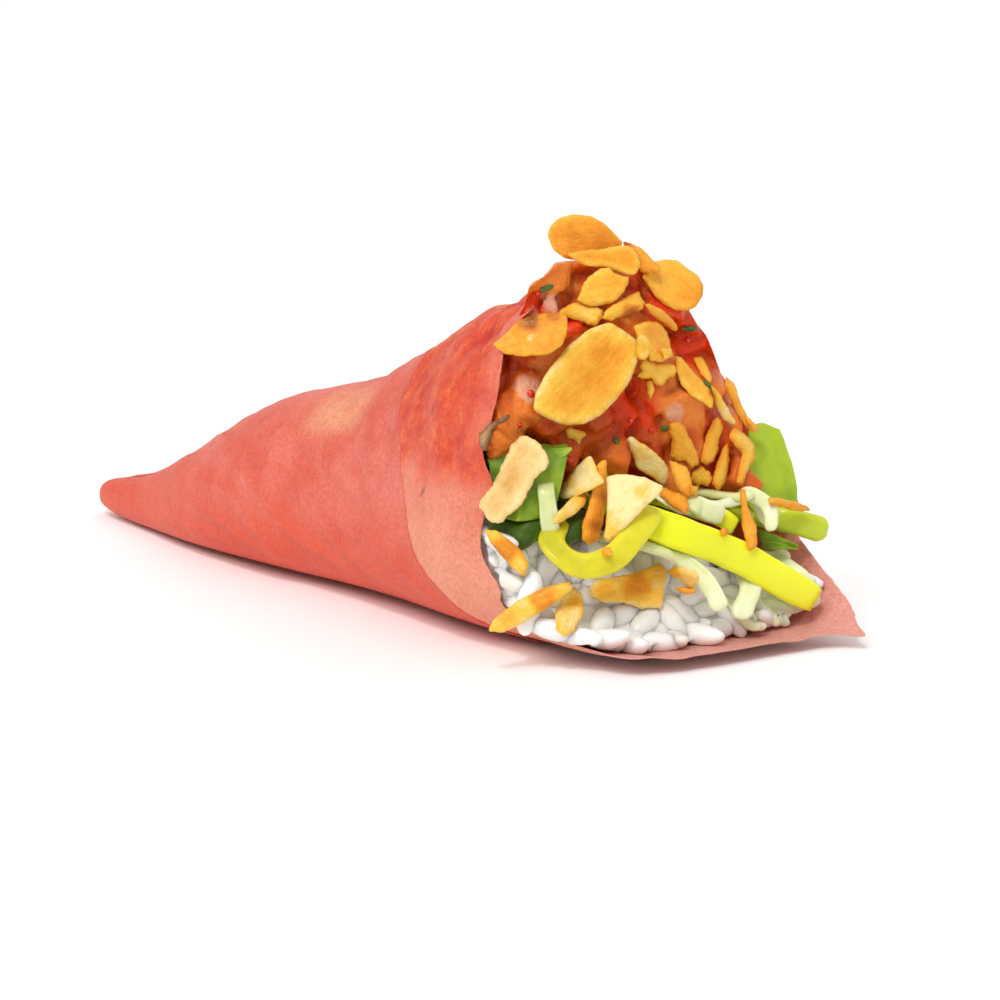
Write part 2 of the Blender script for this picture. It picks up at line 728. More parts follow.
@dataclass
class SoyWrap:
    """One soy sheet wound on itself into a cone, its mouth cut at a slant and its edges uneven."""

    thick: float = 0.22
    snug_gap: float = -0.08
    gap: float = 0.4
    cad_thick: float = 0.4
    start: float = -0.10
    end: float = 1.60
    climb_from: float = 0.76
    climb_to: float = 0.90
    rows: int = 150
    columns: int = 330
    tip_x: float = -128.6
    shut_from: float = 125.2
    shut_over: float = 3.4
    turn_mm: float = 150.0
    # turn and X of the sheet's front edge
    rim: tuple = (
        (-0.10, -24), (0.00, -26.5), (0.035, -26), (0.07, -20.5), (0.12, -20), (0.165, -18),
        (0.21, -18.5), (0.235, -16), (0.265, -18.2), (0.30, -16), (0.34, -15.5), (0.37, -11),
        (0.42, 1.6), (0.50, 5.4), (0.55, 6.6), (0.58, 8.6), (0.593, 10.8), (0.606, 8.4),
        (0.635, 4.6), (0.68, -2.5), (0.72, -8.5), (0.79, -17), (0.90, -24), (0.95, -33),
        (1.00, -42), (1.08, -44.5), (1.15, -42.5), (1.22, -38), (1.28, -35.2), (1.34, -28.5),
        (1.39, -22), (1.45, -17), (1.60, -15),
    )
    # the two dark specks: place and reach
    specks: tuple = (((-30.9, -21.0, 19.3), 0.7), ((-31.0, -18.9, 29.4), 1.1))

    def rim_x(self, turn: Array) -> Array:
        """X of the sheet's front edge at these turns."""
        return Curve(self.rim)(turn)

    def surface(self, x: Array, turn: Array, across: Array, relief: Array, step: float) -> Array:
        """Points of the sheet.

        Args:
            x: places along the roll.
            turn: turns along the sheet.
            across: 0 at its inner face and 1 at its outer face.
            relief: how far each point is pushed out.
            step: how far out the second layer lies.

        Returns:
            Points, one for each place.
        """
        out = step * smooth_step(turn, self.climb_from, self.climb_to)
        out = out + self.cad_thick - self.thick * (1 - across) + relief
        points = CONE.section(x, turn, out)
        at_mouth = mix(CONE.stack, self.cad_thick, smooth_step(x, -14, -5))
        stack = np.where(turn < self.climb_to, at_mouth, CONE.stack)
        height, shift, lift = (Curve(CONE.stations, c)(x) for c in (1, 3, 4))
        settled = points[..., 2] - CONE.settle * smooth_step(-points[..., 2], -6, 0)
        points[..., 2] = np.maximum(settled, stack - out + relief + lift)
        # The sheet is twisted shut round the tip.
        axis = np.stack([shift, lift + height * 0.45], axis=-1)
        past = np.clip(-x - self.shut_from, 0, None) / self.shut_over
        shut = np.sqrt(np.maximum(1 - past**2, 0.002))
        points[..., 1:] = axis + (points[..., 1:] - axis) * shut[..., None]
        return points

    def places(self, rows: int, columns: int) -> tuple[Array, Array]:
        """Spaces the sheet's grid.

        Args:
            rows: from the tip to the rim.
            columns: round the roll.

        Returns:
            X and turn of each point.
        """
        turn = np.linspace(self.start, self.end, columns)[None, :].repeat(rows, axis=0)
        share = 1 - (1 - np.linspace(0, 1, rows) ** 1.25) ** 1.15
        return mix(self.tip_x, self.rim_x(turn), share[:, None]), turn

    def plain_points(self) -> Array:
        """The sheet's outer face without relief."""
        x, turn = self.places(16, 200)
        return self.surface(x, turn, 1.0, np.zeros_like(x), self.cad_thick + self.gap)

    def relief(self, x: Array, turn: Array) -> Array:
        """Pushes the sheet out over the filling and creases it.

        Args:
            x: places along the roll.
            turn: turns along the sheet.

        Returns:
            How far out each point lies, the same for both layers.
        """
        flat = CONE.section(x, turn, np.zeros_like(x)).reshape(-1, 3)
        along, z = flat[:, 0], flat[:, 2]
        over_salmon = smooth_step(along, -72, -52) * smooth_step(z, 17, 27)
        wrinkled = smooth_step(z, 30, 42)
        bulge = (lumps(flat, 8.0, 1) * 0.9 + lumps(flat, 3.6, 2) * 0.34) * (1 + 0.7 * wrinkled)
        bulge = bulge - (0.15 + 0.6 * wrinkled) * np.exp(-((lumps(flat, 6.0, 7) / 0.10) ** 2))
        around = (turn.reshape(-1) % 1.0) * 100
        slant = np.stack([(along + 0.9 * around) * 0.18, around - 0.55 * along, z * 0], axis=1)
        crease = 0.35 - (np.abs(lumps(slant, 5.0, 3)) ** 0.7) * 0.9
        gather = lumps(np.stack([along * 0.10, around * 0.55, z * 0], axis=1), 4.0, 4)
        low = smooth_step(-z, -24, -6) * smooth_step(along, -105, -80)
        crease = crease * (0.35 + 0.6 * low) * (1 - over_salmon) * smooth_step(along, -120, -90)
        near_tip = (1 - smooth_step(along, -112, -80)) * smooth_step(along, -126, -116)
        total = over_salmon * bulge + crease + near_tip * gather * 0.6
        for size, seed, height in ((14, 5, 0.45), (4.5, 12, 0.16), (2.0, 6, 0.07)):
            total = total + lumps(flat, size, seed) * height
        return (total * smooth_step(z, 1.2, 5.0)).reshape(x.shape)

    def build(self) -> Object:
        """Builds the wound sheet, with where it is thin and what lies behind it."""
        x, turn = self.places(self.rows, self.columns)
        first = turn[0]
        edge_line = np.stack([first * self.turn_mm, first * 0, first * 0], axis=1)
        ragged, fine, wave = (lumps(edge_line, size, k) for size, k in ((3, 8), (0.9, 9), (7, 10)))
        share = np.linspace(0, 1, self.rows)[:, None]
        x = x + share**14 * (0.5 * ragged + 0.22 * fine)[None, :]
        relief = self.relief(x, turn)
        low_side = smooth_step(first, 0.20, 0.28) * (1 - smooth_step(first, 0.62, 0.7))
        flare = share**10 * ((0.2 + 0.5 * wave) * (1 - 0.9 * low_side))[None, :]
        relief = relief + np.where(turn < self.climb_from, flare * 0.7, 0)
        lip = share**9 * smooth_step(turn, 0.38, 0.46) * (1 - smooth_step(turn, 0.54, 0.60))
        lip = lip * (1.8 + 0.9 * wave)[None, :]
        worn = 0.3 * share**40 + 0 * x
        skins = []
        for across in (worn, 1 - worn):
            skins.append(self.surface(x, turn, across, relief, self.thick + self.snug_gap))
            skins[-1][..., 2] += lip
        shades = self.shades(x, turn, skins[1].reshape(-1, 3))
        doubled = {key: np.concatenate([v, v]) for key, v in shades.items()}
        points = np.concatenate([skin.reshape(-1, 3) for skin in skins])
        faces = sheet_faces(self.rows, self.columns)
        return piece("soy_wrap", points, faces, PAPER, ["soy_paper"], doubled)

    def shades(self, x: Array, turn: Array, flat: Array) -> dict[str, Array]:
        """Where one layer shows alone, and where salmon or rice shows through it.

        Args:
            x: places along the roll.
            turn: turns along the sheet.
            flat: the outer face's points.

        Returns:
            A value for each point, by the name of the tint.
        """
        first = np.where(turn > self.start + 1, turn - 1, turn)
        covered = first < self.end - 1
        outer_edge = np.where(covered, self.rim_x(first + 1), -90)
        single = smooth_step((x - outer_edge) / np.where(covered, 0.25, 16), -1, 1).reshape(-1)
        single = single * (turn.reshape(-1) < self.start + 1)
        (along, y, z), around = flat.T, turn.reshape(-1)
        cloud = lumps(flat, 7.0, 11) * 0.5 + lumps(flat, 2.6, 12) * 0.3
        salmon = smooth_step(z + cloud * 7, 18.5, 25) * smooth_step(along, -76, -60)
        blotch = smooth_step(lumps(flat, 4.0, 14) + 0.5 * lumps(flat, 1.4, 15), 0.0, 0.5)
        rice = smooth_step(-z - cloud * 6, -24, -10)
        seam = ((along + 60) / 7) ** 4 + ((z - 25.0 - 0.16 * (along + 60)) / 2.8) ** 4
        spot = np.exp(-seam) * (y < 0) * smooth_step(cloud, -0.9, -0.3)
        hollow = smooth_step(-self.relief(x, turn).reshape(-1), 0.1, 1.3) * salmon
        far_rim = (around > 0.40) & (around < 0.80)
        under = 1 - smooth_step(z + cloud * 4, 2, 20)
        # Nearer the edge the sheet stands off the salmon.
        near_edge = smooth_step(x - self.rim_x(turn), -5.5, -1.5).reshape(-1)
        loose = 1 - 0.75 * near_edge * smooth_step(z, 24, 30)
        clinging = np.clip((0.8 + 0.2 * blotch) * single * salmon * loose, 0, 1)
        return {
            "low": 0.85 * under * (1 - 0.7 * single),
            "thin": np.clip(0.22 * single + spot + 0.12 * np.maximum(cloud, 0), 0, 1),
            "rice_behind": 0.75 * single * rice,
            "salmon_behind": clinging + 0.3 * (1 - single) * salmon * blotch,
            "speckle": self.marks(flat),
            "hollow": np.clip(0.8 * hollow * (0.35 + 0.65 * single), 0, 1),
            "rim": 0.85 * far_rim * smooth_step(along, -22, -6),
        }

    def marks(self, points: Array) -> Array:
        """Two small dark specks milled into the sheet.

        Args:
            points: N by 3, in millimetres.

        Returns:
            How dark each point is.
        """
        share = np.zeros(len(points))
        for place, reach in self.specks:
            far = np.linalg.norm(points - np.array(place), axis=1) / reach
            share = np.maximum(share, 1 - smooth_step(far, 0.3, 1.0))
        return 0.8 * share


# ---- the fillings


def evaluated_mesh(obj: Object) -> Mesh:
    """Turns what the modifiers make into plain data and removes them.

    Args:
        obj: a working object.

    Returns:
        A plain mesh.
    """
    graph = bpy.context.evaluated_depsgraph_get()
    mesh = bpy.data.meshes.new_from_object(obj.evaluated_get(graph))
    obj.modifiers.clear()
    return mesh


def drop(obj: Object) -> None:
    """Removes a working object and its mesh."""
    bpy.data.batch_remove([obj, obj.data])


def remeshed(obj: Object, voxel: float) -> Mesh:
    """Wraps one closed skin round everything in an object.

    Args:
        obj: a working object.
        voxel: the cubes' side in millimetres.

    Returns:
        The skin.
    """
    skin = obj.modifiers.new("skin", "REMESH")
    skin.mode, skin.voxel_size, skin.use_smooth_shade = "VOXEL", voxel * MM, True
    return evaluated_mesh(obj)


def cad_core(node: str, voxel: float) -> Mesh:
    """One closed skin round a CAD node, from a merged copy of its mesh.

    Args:
        node: the CAD node's name.
        voxel: the cubes' side in millimetres.

    Returns:
        The skin.
    """
    mesh = frame["nodes"][node].data.copy()
    bm = bmesh.new()
    bm.from_mesh(mesh)
    bmesh.ops.remove_doubles(bm, verts=bm.verts[:], dist=0.001 * MM)
    bm.to_mesh(mesh)
    bm.free()
    source = linked(node + "_copy", mesh)
    core = remeshed(source, voxel)
    drop(source)
    return core


def mesh_arrays(mesh: Mesh) -> tuple[Array, Array]:
    """Reads a mesh in millimetres.

    Args:
        mesh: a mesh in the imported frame.

    Returns:
        Points from the middle of the mouth's sole, and normals.
    """
    points, normals = (np.empty(len(mesh.vertices) * 3, np.float32) for _ in range(2))
    mesh.vertices.foreach_get("co", points)
    mesh.vertices.foreach_get("normal", normals)
    return points.reshape(-1, 3) / MM - np.array(Placement.offset), normals.reshape(-1, 3)


def put_points(mesh: Mesh, points: Array, values: dict[str, Array]) -> None:
    """Moves a mesh's points and gives them values.

    Args:
        mesh: the mesh.
        points: N by 3, in millimetres.
        values: each point's values, by attribute name.
    """
    placed = (points + np.array(Placement.offset)) * MM
    mesh.vertices.foreach_set("co", placed.astype(np.float32).reshape(-1))
    mesh.update()
    for name, each in values.items():
        layer = mesh.attributes.get(name) or mesh.attributes.new(name, "FLOAT", "POINT")
        layer.data.foreach_set("value", np.asarray(each, np.float32))


def surface_of(mesh: Mesh) -> BVHTree:
    """A mesh as a surface to measure to, in millimetres."""
    faces = [tuple(face.vertices) for face in mesh.polygons]
    return BVHTree.FromPolygons(mesh_arrays(mesh)[0].tolist(), faces)


def openness(points: Array, deeper: float) -> Array:
    """1 where a filling lies near the leaning face or in front of it, and 0 behind this depth."""
    x, y, z = points.T
    return smooth_step(x - MOUTH.face_x(y, z), -deeper - 1.5, -deeper + 1.5)


def kept_inside(points: Array, limit: float) -> Array:
    """Keeps a filling inside the paper.

    Args:
        points: N by 3, in millimetres.
        limit: the share of the paper's section that is free.

    Returns:
        The points, pulled in where they poke through.
    """
    x, y, z = points.T
    height, half, shift, middle = CONE.sizes(x)
    over = z > middle
    up = height * np.where(over, 1 - CONE.widest_at, CONE.widest_at)
    power = np.where(over, CONE.upper_power, CONE.lower_power)
    side = np.abs((y - shift) / half) ** (power / 2)
    rise = np.abs((z - middle) / up) ** (power / 2)
    turn = np.arctan2(np.copysign(side, shift - y), np.copysign(rise, z - middle)) / (2 * np.pi)
    out = (side**2 + rise**2) ** (1 / power)
    ahead = x - SoyWrap().rim_x(np.where(turn < -0.1, turn + 1, turn))
    # What stands well over the edge slopes down to it instead of ending in a step.
    kept = np.where(ahead > 1.0, 1.0, smooth_step(ahead, -3.5, 1.5) * smooth_step(out, 1.02, 1.12))
    pull = mix(np.minimum(limit / np.maximum(out, 1e-6), 1.0), 1.0, kept)
    return np.stack([x, shift + (y - shift) * pull, middle + (z - middle) * pull], axis=1)


class ScatterTree:
    """A geometry tree that lays copies of one shape over the open part of a mesh."""

    # copies on each square metre at most, past which the spacing alone decides
    densest: float = 900000.0

    def __init__(self, name: str, values: dict[str, float]) -> None:
        """Starts the tree with a mesh in, a mesh out and its named inputs.

        Args:
            name: the tree's name.
            values: its sizes and its seed, by the name of their input.
        """
        self.tree, self.values = bpy.data.node_groups.new(name, "GeometryNodeTree"), values
        sockets = [("Mesh", "INPUT", "Geometry"), ("Mesh", "OUTPUT", "Geometry")]
        for key, value in values.items():
            sockets.append((key, "INPUT", "Int" if isinstance(value, int) else "Float"))
        for key, side, kind in sockets:
            self.tree.interface.new_socket(key, in_out=side, socket_type="NodeSocket" + kind)
        self.entry = self.tree.nodes.new("NodeGroupInput").outputs

    def scatter(self, shape: Socket, tone_name: str, tilt: float, sizes: Sequence[float]) -> Socket:
        """Lays the copies, each with its own tone, turn and size.

        Args:
            shape: the geometry that is copied.
            tone_name: the attribute that gets each copy's own tone.
            tilt: how far a copy may tip out of the surface, in radians.
            sizes: the least and the greatest scale.

        Returns:
            The socket of the realized copies.
        """
        tree, seed, number = self.tree, self.entry["Seed"], {"data_type": "FLOAT"}
        named = "GeometryNodeInputNamedAttribute"
        open_face = add_node(tree, named, {"Name": "open"}, "Attribute", **number)
        over = {
            "Mesh": self.entry["Mesh"], "Distance Min": self.entry["Spacing"],
            "Density Max": self.densest, "Density Factor": open_face, "Seed": seed,
        }
        spread = "GeometryNodeDistributePointsOnFaces"
        spread = add_node(tree, spread, over, distribute_method="POISSON").node.outputs
        random = "FunctionNodeRandomValue"
        tone = add_node(tree, random, {"Seed": seed}, 1, **number)
        toned = {"Geometry": spread["Points"], "Name": tone_name, "Value": tone}
        keep = "GeometryNodeStoreNamedAttribute"
        points = add_node(tree, keep, toned, domain="POINT", **number)
        ways = {0: (-tilt, -tilt, 0.0), 1: (tilt, tilt, math.tau), "Seed": seed}
        spin = add_node(tree, random, ways, data_type="FLOAT_VECTOR")
        turn = {"Rotation": spread["Rotation"], "Rotate By": spin}
        turned = add_node(tree, "FunctionNodeRotateRotation", turn, rotation_space="LOCAL")
        size = add_node(tree, random, {2: sizes[0], 3: sizes[1], "Seed": seed}, 1, **number)
        copies = {"Points": points, "Instance": shape, "Rotation": turned, "Scale": size}
        laid = add_node(tree, "GeometryNodeInstanceOnPoints", copies)
        return add_node(tree, "GeometryNodeRealizeInstances", {0: laid})

    def run(self, mesh: Mesh, result: Socket, finish: Finish) -> Mesh:
        """Ends the tree with a finish and runs it.

        Args:
            mesh: what the copies are laid on.
            result: the socket of what is made.
            finish: what it is made of.

        Returns:
            A plain mesh.
        """
        dressed = {"Geometry": result, "Material": finish.material()}
        dressed = add_node(self.tree, "GeometryNodeSetMaterial", dressed)
        add_node(self.tree, "NodeGroupOutput", {"Mesh": dressed})
        obj = linked(self.tree.name + "_work", mesh)
        modifier = obj.modifiers.new(self.tree.name, "NODES")
        modifier.node_group = self.tree
        for item in self.tree.interface.items_tree:
            if item.in_out == "INPUT" and item.name in self.values:
                modifier[item.identifier] = self.values[item.name]
        made = evaluated_mesh(obj)
        bpy.data.objects.remove(obj, do_unlink=True)
        return made


@dataclass
class RiceBed:
    """Cooked rice along the roll's underside: a solid core, with whole grains at its open face."""

    voxel: float = 0.8
    inset: float = 0.8
    grain_length: float = 8.0
    grain_width: float = 3.3
    grain_depth: float = 2.7
    grain_scales: tuple[float, float] = (0.88, 1.1)
    tilt: float = 0.13
    kept: float = 0.985
    spacing: float = 2.7
    spill: float = 0.4
    near_spill: float = 2.4
    seed: int = 4

    def core(self) -> Mesh:
        """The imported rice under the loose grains, lumpy at the size of a grain."""
        mesh = cad_core("rice", self.voxel)
        points, normals = mesh_arrays(mesh)
        ridge = lumps(points * np.array([1.0, 1.3, 1.6]), 2.6, 21)
        open_face = openness(points, 7)
        facing = np.clip(normals[:, 0] * 1.6, 0, 1)
        depth = (self.inset * facing + 0.5 * (1 - facing)) * open_face + 0.3
        points = points - normals * (depth - ridge * 0.5 * open_face)[:, None]
        near = smooth_step(-points[:, 1], 6, 18) * (1 - smooth_step(points[:, 2], 12, 20))
        spill = self.spill * (1 - smooth_step(points[:, 2], 1, 9)) + self.near_spill * near
        points[:, 0] += spill * openness(points, 3)
        tone = 0.3 + 0.2 * lumps(points, 3.0, 22)
        put_points(mesh, points, {"open": openness(points, 10), "grain_tone": tone})
        return mesh

    def grains(self, core: Mesh) -> Mesh:
        """Lays whole grains over the core where it is open.

        Args:
            core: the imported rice.

        Returns:
            The grains.
        """
        sizes = (self.grain_length, self.grain_width, self.grain_depth)
        names = ("Grain length", "Grain width", "Grain depth")
        values = {name: size * MM for name, size in zip(names, sizes)}
        values.update({"Spacing": self.spacing * MM, "Seed": self.seed})
        made = ScatterTree("rice_grains", values)
        tree, entry = made.tree, made.entry
        round_of = {"Segments": 10, "Rings": 8, "Radius": 0.5}
        ball = add_node(tree, "GeometryNodeMeshUVSphere", round_of, "Mesh")
        place = add_node(tree, "GeometryNodeInputPosition")
        x, y, z = add_node(tree, "ShaderNodeSeparateXYZ", {0: place}).node.outputs
        # A grain is a plump oval, bent a little along its length.
        square = add_node(tree, "ShaderNodeMath", {0: z, 1: z}, operation="MULTIPLY")
        bow = {0: square, 1: -0.7, 2: y}
        bend = add_node(tree, "ShaderNodeMath", bow, operation="MULTIPLY_ADD")
        unit = add_node(tree, "ShaderNodeCombineXYZ", {0: z, 1: x, 2: bend})
        size = {k: entry[name] for k, name in enumerate(names)}
        size = add_node(tree, "ShaderNodeCombineXYZ", size)
        sized = add_node(tree, "ShaderNodeVectorMath", {0: unit, 1: size}, operation="MULTIPLY")
        grain = {"Geometry": ball, "Position": sized}
        grain = add_node(tree, "GeometryNodeSetPosition", grain)
        laid = made.scatter(grain, "grain_tone", self.tilt, self.grain_scales)
        return made.run(core, laid, RICE)

    def build(self) -> list[Object]:
        """Builds the core and the grains over it."""
        core = self.core()
        grains = self.grains(core)
        places = kept_inside(mesh_arrays(grains)[0], self.kept)
        places[:, 2] = np.maximum(places[:, 2], 1.0 + 0.25 * (places[:, 2] - 1.0))
        put_points(grains, places, {})
        bed = finished("rice_core", core, RICE, ["rice"])
        return [bed, finished("rice_grains", grains, RICE)]


@dataclass
class SalmonHeap:
    """Chopped salmon in a wet chilli dressing, heaped at the mouth."""

    core_voxel: float = 0.9
    voxel: float = 0.5
    inset: float = 2.6
    chunk: float = 6.2
    chunk_scales: tuple[float, float] = (0.42, 0.85)
    tilt: float = 0.7
    kept: float = 0.965
    wobble: float = 2.6
    wobble_over: float = 4.0
    spacing: float = 3.4
    seed: int = 11
    # where the chilli dressing lies thick and red, where fat shows, where the flesh is pale and
    # where it lies in shade: across, up, reach
    red_spots: tuple = (
        (-4.5, 32.5, 4.6), (4.0, 42.0, 4.4), (0.5, 46.0, 3.4), (-17.0, 45.0, 2.0),
        (-12.6, 43.4, 2.0), (-9.5, 40.0, 2.4),
    )
    fat_spots: tuple = (
        (-17.6, 34.6, 1.8), (-17.1, 44.2, 1.1), (-14.6, 45.3, 1.3), (1.4, 31.8, 1.5),
        (9.6, 32.5, 1.2),
    )
    pale_spots: tuple = ((-19.6, 28.6, 3.6), (-12.8, 48.6, 3.0))
    dark_spots: tuple = (
        (-8.6, 29.4, 3.6), (-14.4, 30.8, 2.4), (-2.6, 26.6, 3.2), (2.4, 27.4, 2.6),
        (-20.4, 36.6, 2.4), (6.4, 37.4, 1.8),
    )
    # how far the heap reaches: up, across; and across, up
    far_side: tuple = ((20, 15), (26, 10), (31, 9.6), (35, 8.2), (41, 5.6), (45, 3.2), (52, 1))
    top_line: tuple = (
        (-26, 42), (-18.8, 46.4), (-15.6, 48.2), (-14, 50.2), (-11, 50.6), (-4, 50.2), (-1, 49),
        (2, 46.2), (8, 43),
    )
    pressed: float = 0.85

    def chunks(self, core: Mesh) -> Mesh:
        """Lays soft-cornered pieces over the core where it is open.

        Args:
            core: the salmon under them.

        Returns:
            The pieces.
        """
        sizes = {"Piece size": self.chunk, "Wobble": self.wobble, "Spacing": self.spacing}
        values = {name: size * MM for name, size in sizes.items()}
        made = ScatterTree("salmon_pieces", {**values, "Seed": self.seed})
        tree, maths = made.tree, "ShaderNodeVectorMath"
        block = {"Size": (1.0, 0.8, 0.62), "Vertices X": 5, "Vertices Y": 5, "Vertices Z": 5}
        cube = add_node(tree, "GeometryNodeMeshCube", block, "Mesh")
        place = add_node(tree, "GeometryNodeInputPosition")
        ball = add_node(tree, maths, {0: place}, operation="NORMALIZE")
        soft = add_node(tree, maths, {0: ball, 1: (0.21,) * 3, 2: place}, operation="MULTIPLY_ADD")
        size = {0: soft, "Scale": made.entry["Piece size"]}
        sized = add_node(tree, maths, size, operation="SCALE")
        chunk = add_node(tree, "GeometryNodeSetPosition", {0: cube, 2: sized})
        laid = made.scatter(chunk, "piece_tone", self.tilt, self.chunk_scales)
        cloud = {"Scale": per_mm(self.wobble_over), "Detail": 2.0}
        wobble = add_node(tree, "ShaderNodeTexNoise", cloud, "Color")
        shift = add_node(tree, maths, {0: wobble, 1: (0.5,) * 3}, operation="SUBTRACT")
        size = {0: shift, "Scale": made.entry["Wobble"]}
        shift = add_node(tree, maths, size, operation="SCALE")
        uneven = {"Geometry": laid, "Offset": shift}
        return made.run(core, add_node(tree, "GeometryNodeSetPosition", uneven), SALMON)

    def build(self) -> Object:
        """Builds the heap as one wet skin round its core and its pieces."""
        core = cad_core("salmon", self.core_voxel)
        points, normals = mesh_arrays(core)
        open_face = openness(points, 7)
        facing = np.clip(normals @ np.array(MOUTH.outward) * 2 + 0.3, 0, 1)
        depth = 0.3 + (1.15 * self.inset * facing - 0.15) * open_face
        put_points(core, points - normals * depth[:, None], {"open": open_face})
        pieces = self.chunks(core)
        tones = np.empty(len(pieces.vertices), np.float32)
        pieces.attributes["piece_tone"].data.foreach_get("value", tones)
        bm = bmesh.new()
        for part in (core, pieces):
            bm.from_mesh(part)
        bm.to_mesh(core)
        bm.free()
        source = linked("salmon_work", core)
        mesh = remeshed(source, self.voxel)
        drop(source)
        points, normals = mesh_arrays(mesh)
        tree, tone = surface_of(pieces), np.full(len(points), 0.3)
        for i, p in enumerate(points.tolist()):
            _, _, face, _ = tree.find_nearest(p, 1.5)
            if face is not None:
                tone[i] = tones[pieces.polygons[face].vertices[0]]
        hollow = self.hollows(mesh, points, normals)
        relief = lumps(points, 1.6, 31) * 0.14 + lumps(points, 0.8, 32) * 0.05
        points = kept_inside(self.trimmed(points + normals * relief[:, None]), self.kept)
        fatty = smooth_step(self.spots(points, self.fat_spots, 36), 0.3, 0.75)
        values = {
            "piece_tone": np.maximum(tone * 0.6, 0.55 * self.spots(points, self.pale_spots, 37)),
            "hollow": np.maximum(hollow, 0.6 * self.spots(points, self.dark_spots, 38)),
            "red": 0.9 * self.spots(points, self.red_spots, 35),
            "fatty": 0.8 * fatty,
        }
        put_points(mesh, points, values)
        return finished("salmon_heap", mesh, SALMON, ["salmon"])

    def trimmed(self, points: Array) -> Array:
        """Presses back what stands out past the heap's far side and its top.

        Args:
            points: N by 3, in millimetres.

        Returns:
            The points, pressed back.
        """
        across, up = MOUTH.flat(points)
        over = np.maximum(across - Curve(self.far_side)(up), 0) * (points[:, 0] > -30)
        rise = np.maximum(up - Curve(self.top_line)(across), 0) * (points[:, 0] > -36)
        points = points - self.pressed * over[:, None] * np.array(MOUTH.across)
        return points - self.pressed * rise[:, None] * np.array(MOUTH.upward)

    def spots(self, points: Array, spots: tuple, seed: float) -> Array:
        """Cloudy spots on the heap.

        Args:
            points: N by 3, in millimetres.
            spots: each spot's place across and up, and its reach.
            seed: moves the clouds.

        Returns:
            How far each point lies in a spot, from 0 to 1.
        """
        across, up = MOUTH.flat(points)
        cloud, share = 0.5 * lumps(points, 2.4, seed), np.zeros(len(points))
        for middle, height, reach in spots:
            far = np.hypot(across - middle, up - height) / reach + cloud
            share = np.maximum(share, 1 - smooth_step(far, 0.5, 1.2))
        return share

    def hollows(self, mesh: Mesh, points: Array, normals: Array) -> Array:
        """Finds the creases between pieces.

        Args:
            mesh: the heap's skin.
            points: its points.
            normals: its normals.

        Returns:
            How far each point lies in a crease, from 0 to 1.
        """
        edges = np.empty(len(mesh.edges) * 2, np.int32)
        mesh.edges.foreach_get("vertices", edges)
        edges = edges.reshape(-1, 2)
        bend, count = np.zeros(len(points)), np.zeros(len(points))
        for a, b in (edges.T, edges.T[::-1]):
            np.add.at(bend, a, np.einsum("ij,ij->i", points[b] - points[a], normals[a]))
            np.add.at(count, a, 1)
        count = np.maximum(count, 1)
        bend /= count
        for _ in range(2):
            spread = np.zeros(len(points))
            for a, b in (edges.T, edges.T[::-1]):
                np.add.at(spread, a, bend[b])
            bend = 0.5 * bend + 0.5 * spread / count
        return np.clip(bend * 11, 0, 0.9)


# ---- greens and cut strips


@dataclass
class Leaf:
    """A lettuce leaf: rows from its hidden root to its ruffled edge."""

    name: str
    rows: tuple
    ruffle: float
    waves: float
    blister: float = 0.45
    tone: float = 0.0
    is_node: bool = True
    thick: float = 0.4
    lines: int = 60
    columns: int = 64

    def build(self) -> Object:
        """Builds the leaf as a thin closed sheet with blisters and a ruffled edge."""
        wide = [smooth_path(row, self.columns) for row in self.rows]
        lines = [smooth_path([row[j] for row in wide], self.lines) for j in range(self.columns)]
        middle = np.array(lines).transpose(1, 0, 2)
        facing = np.cross(np.gradient(middle, axis=0), np.gradient(middle, axis=1))
        facing /= np.linalg.norm(facing, axis=2, keepdims=True) + 1e-9
        share = np.linspace(0, 1, self.lines)[:, None]
        place = np.linspace(0, 1, self.columns)[None, :]
        wave = np.sin(2 * np.pi * self.waves * place + 3 * share) * self.ruffle * share**1.5
        flat, shape = middle.reshape(-1, 3), middle.shape[:2]
        small = lumps(flat, 3.4, 41).reshape(shape) * self.blister
        fine = lumps(flat, 1.4, 42).reshape(shape) * self.blister * 0.4
        rise = wave + small + fine
        skins = [middle + facing * (rise + side * self.thick / 2)[..., None] for side in (-1, 1)]
        points = np.concatenate([skin.reshape(-1, 3) for skin in skins])
        vein = np.exp(-(((place - 0.5 - 0.08 * np.sin(3 * share)) / 0.03) ** 2))
        tone = self.tone + 0.5 * share + 0.3 * vein + 0.25 * (rise - wave) / (self.blister + 0.01)
        faces, tones = sheet_faces(self.lines, self.columns), {"along": np.tile(tone.ravel(), 2)}
        node = [self.name] if self.is_node else []
        return piece(self.name + "_leaf", points, faces, LETTUCE, node, tones)


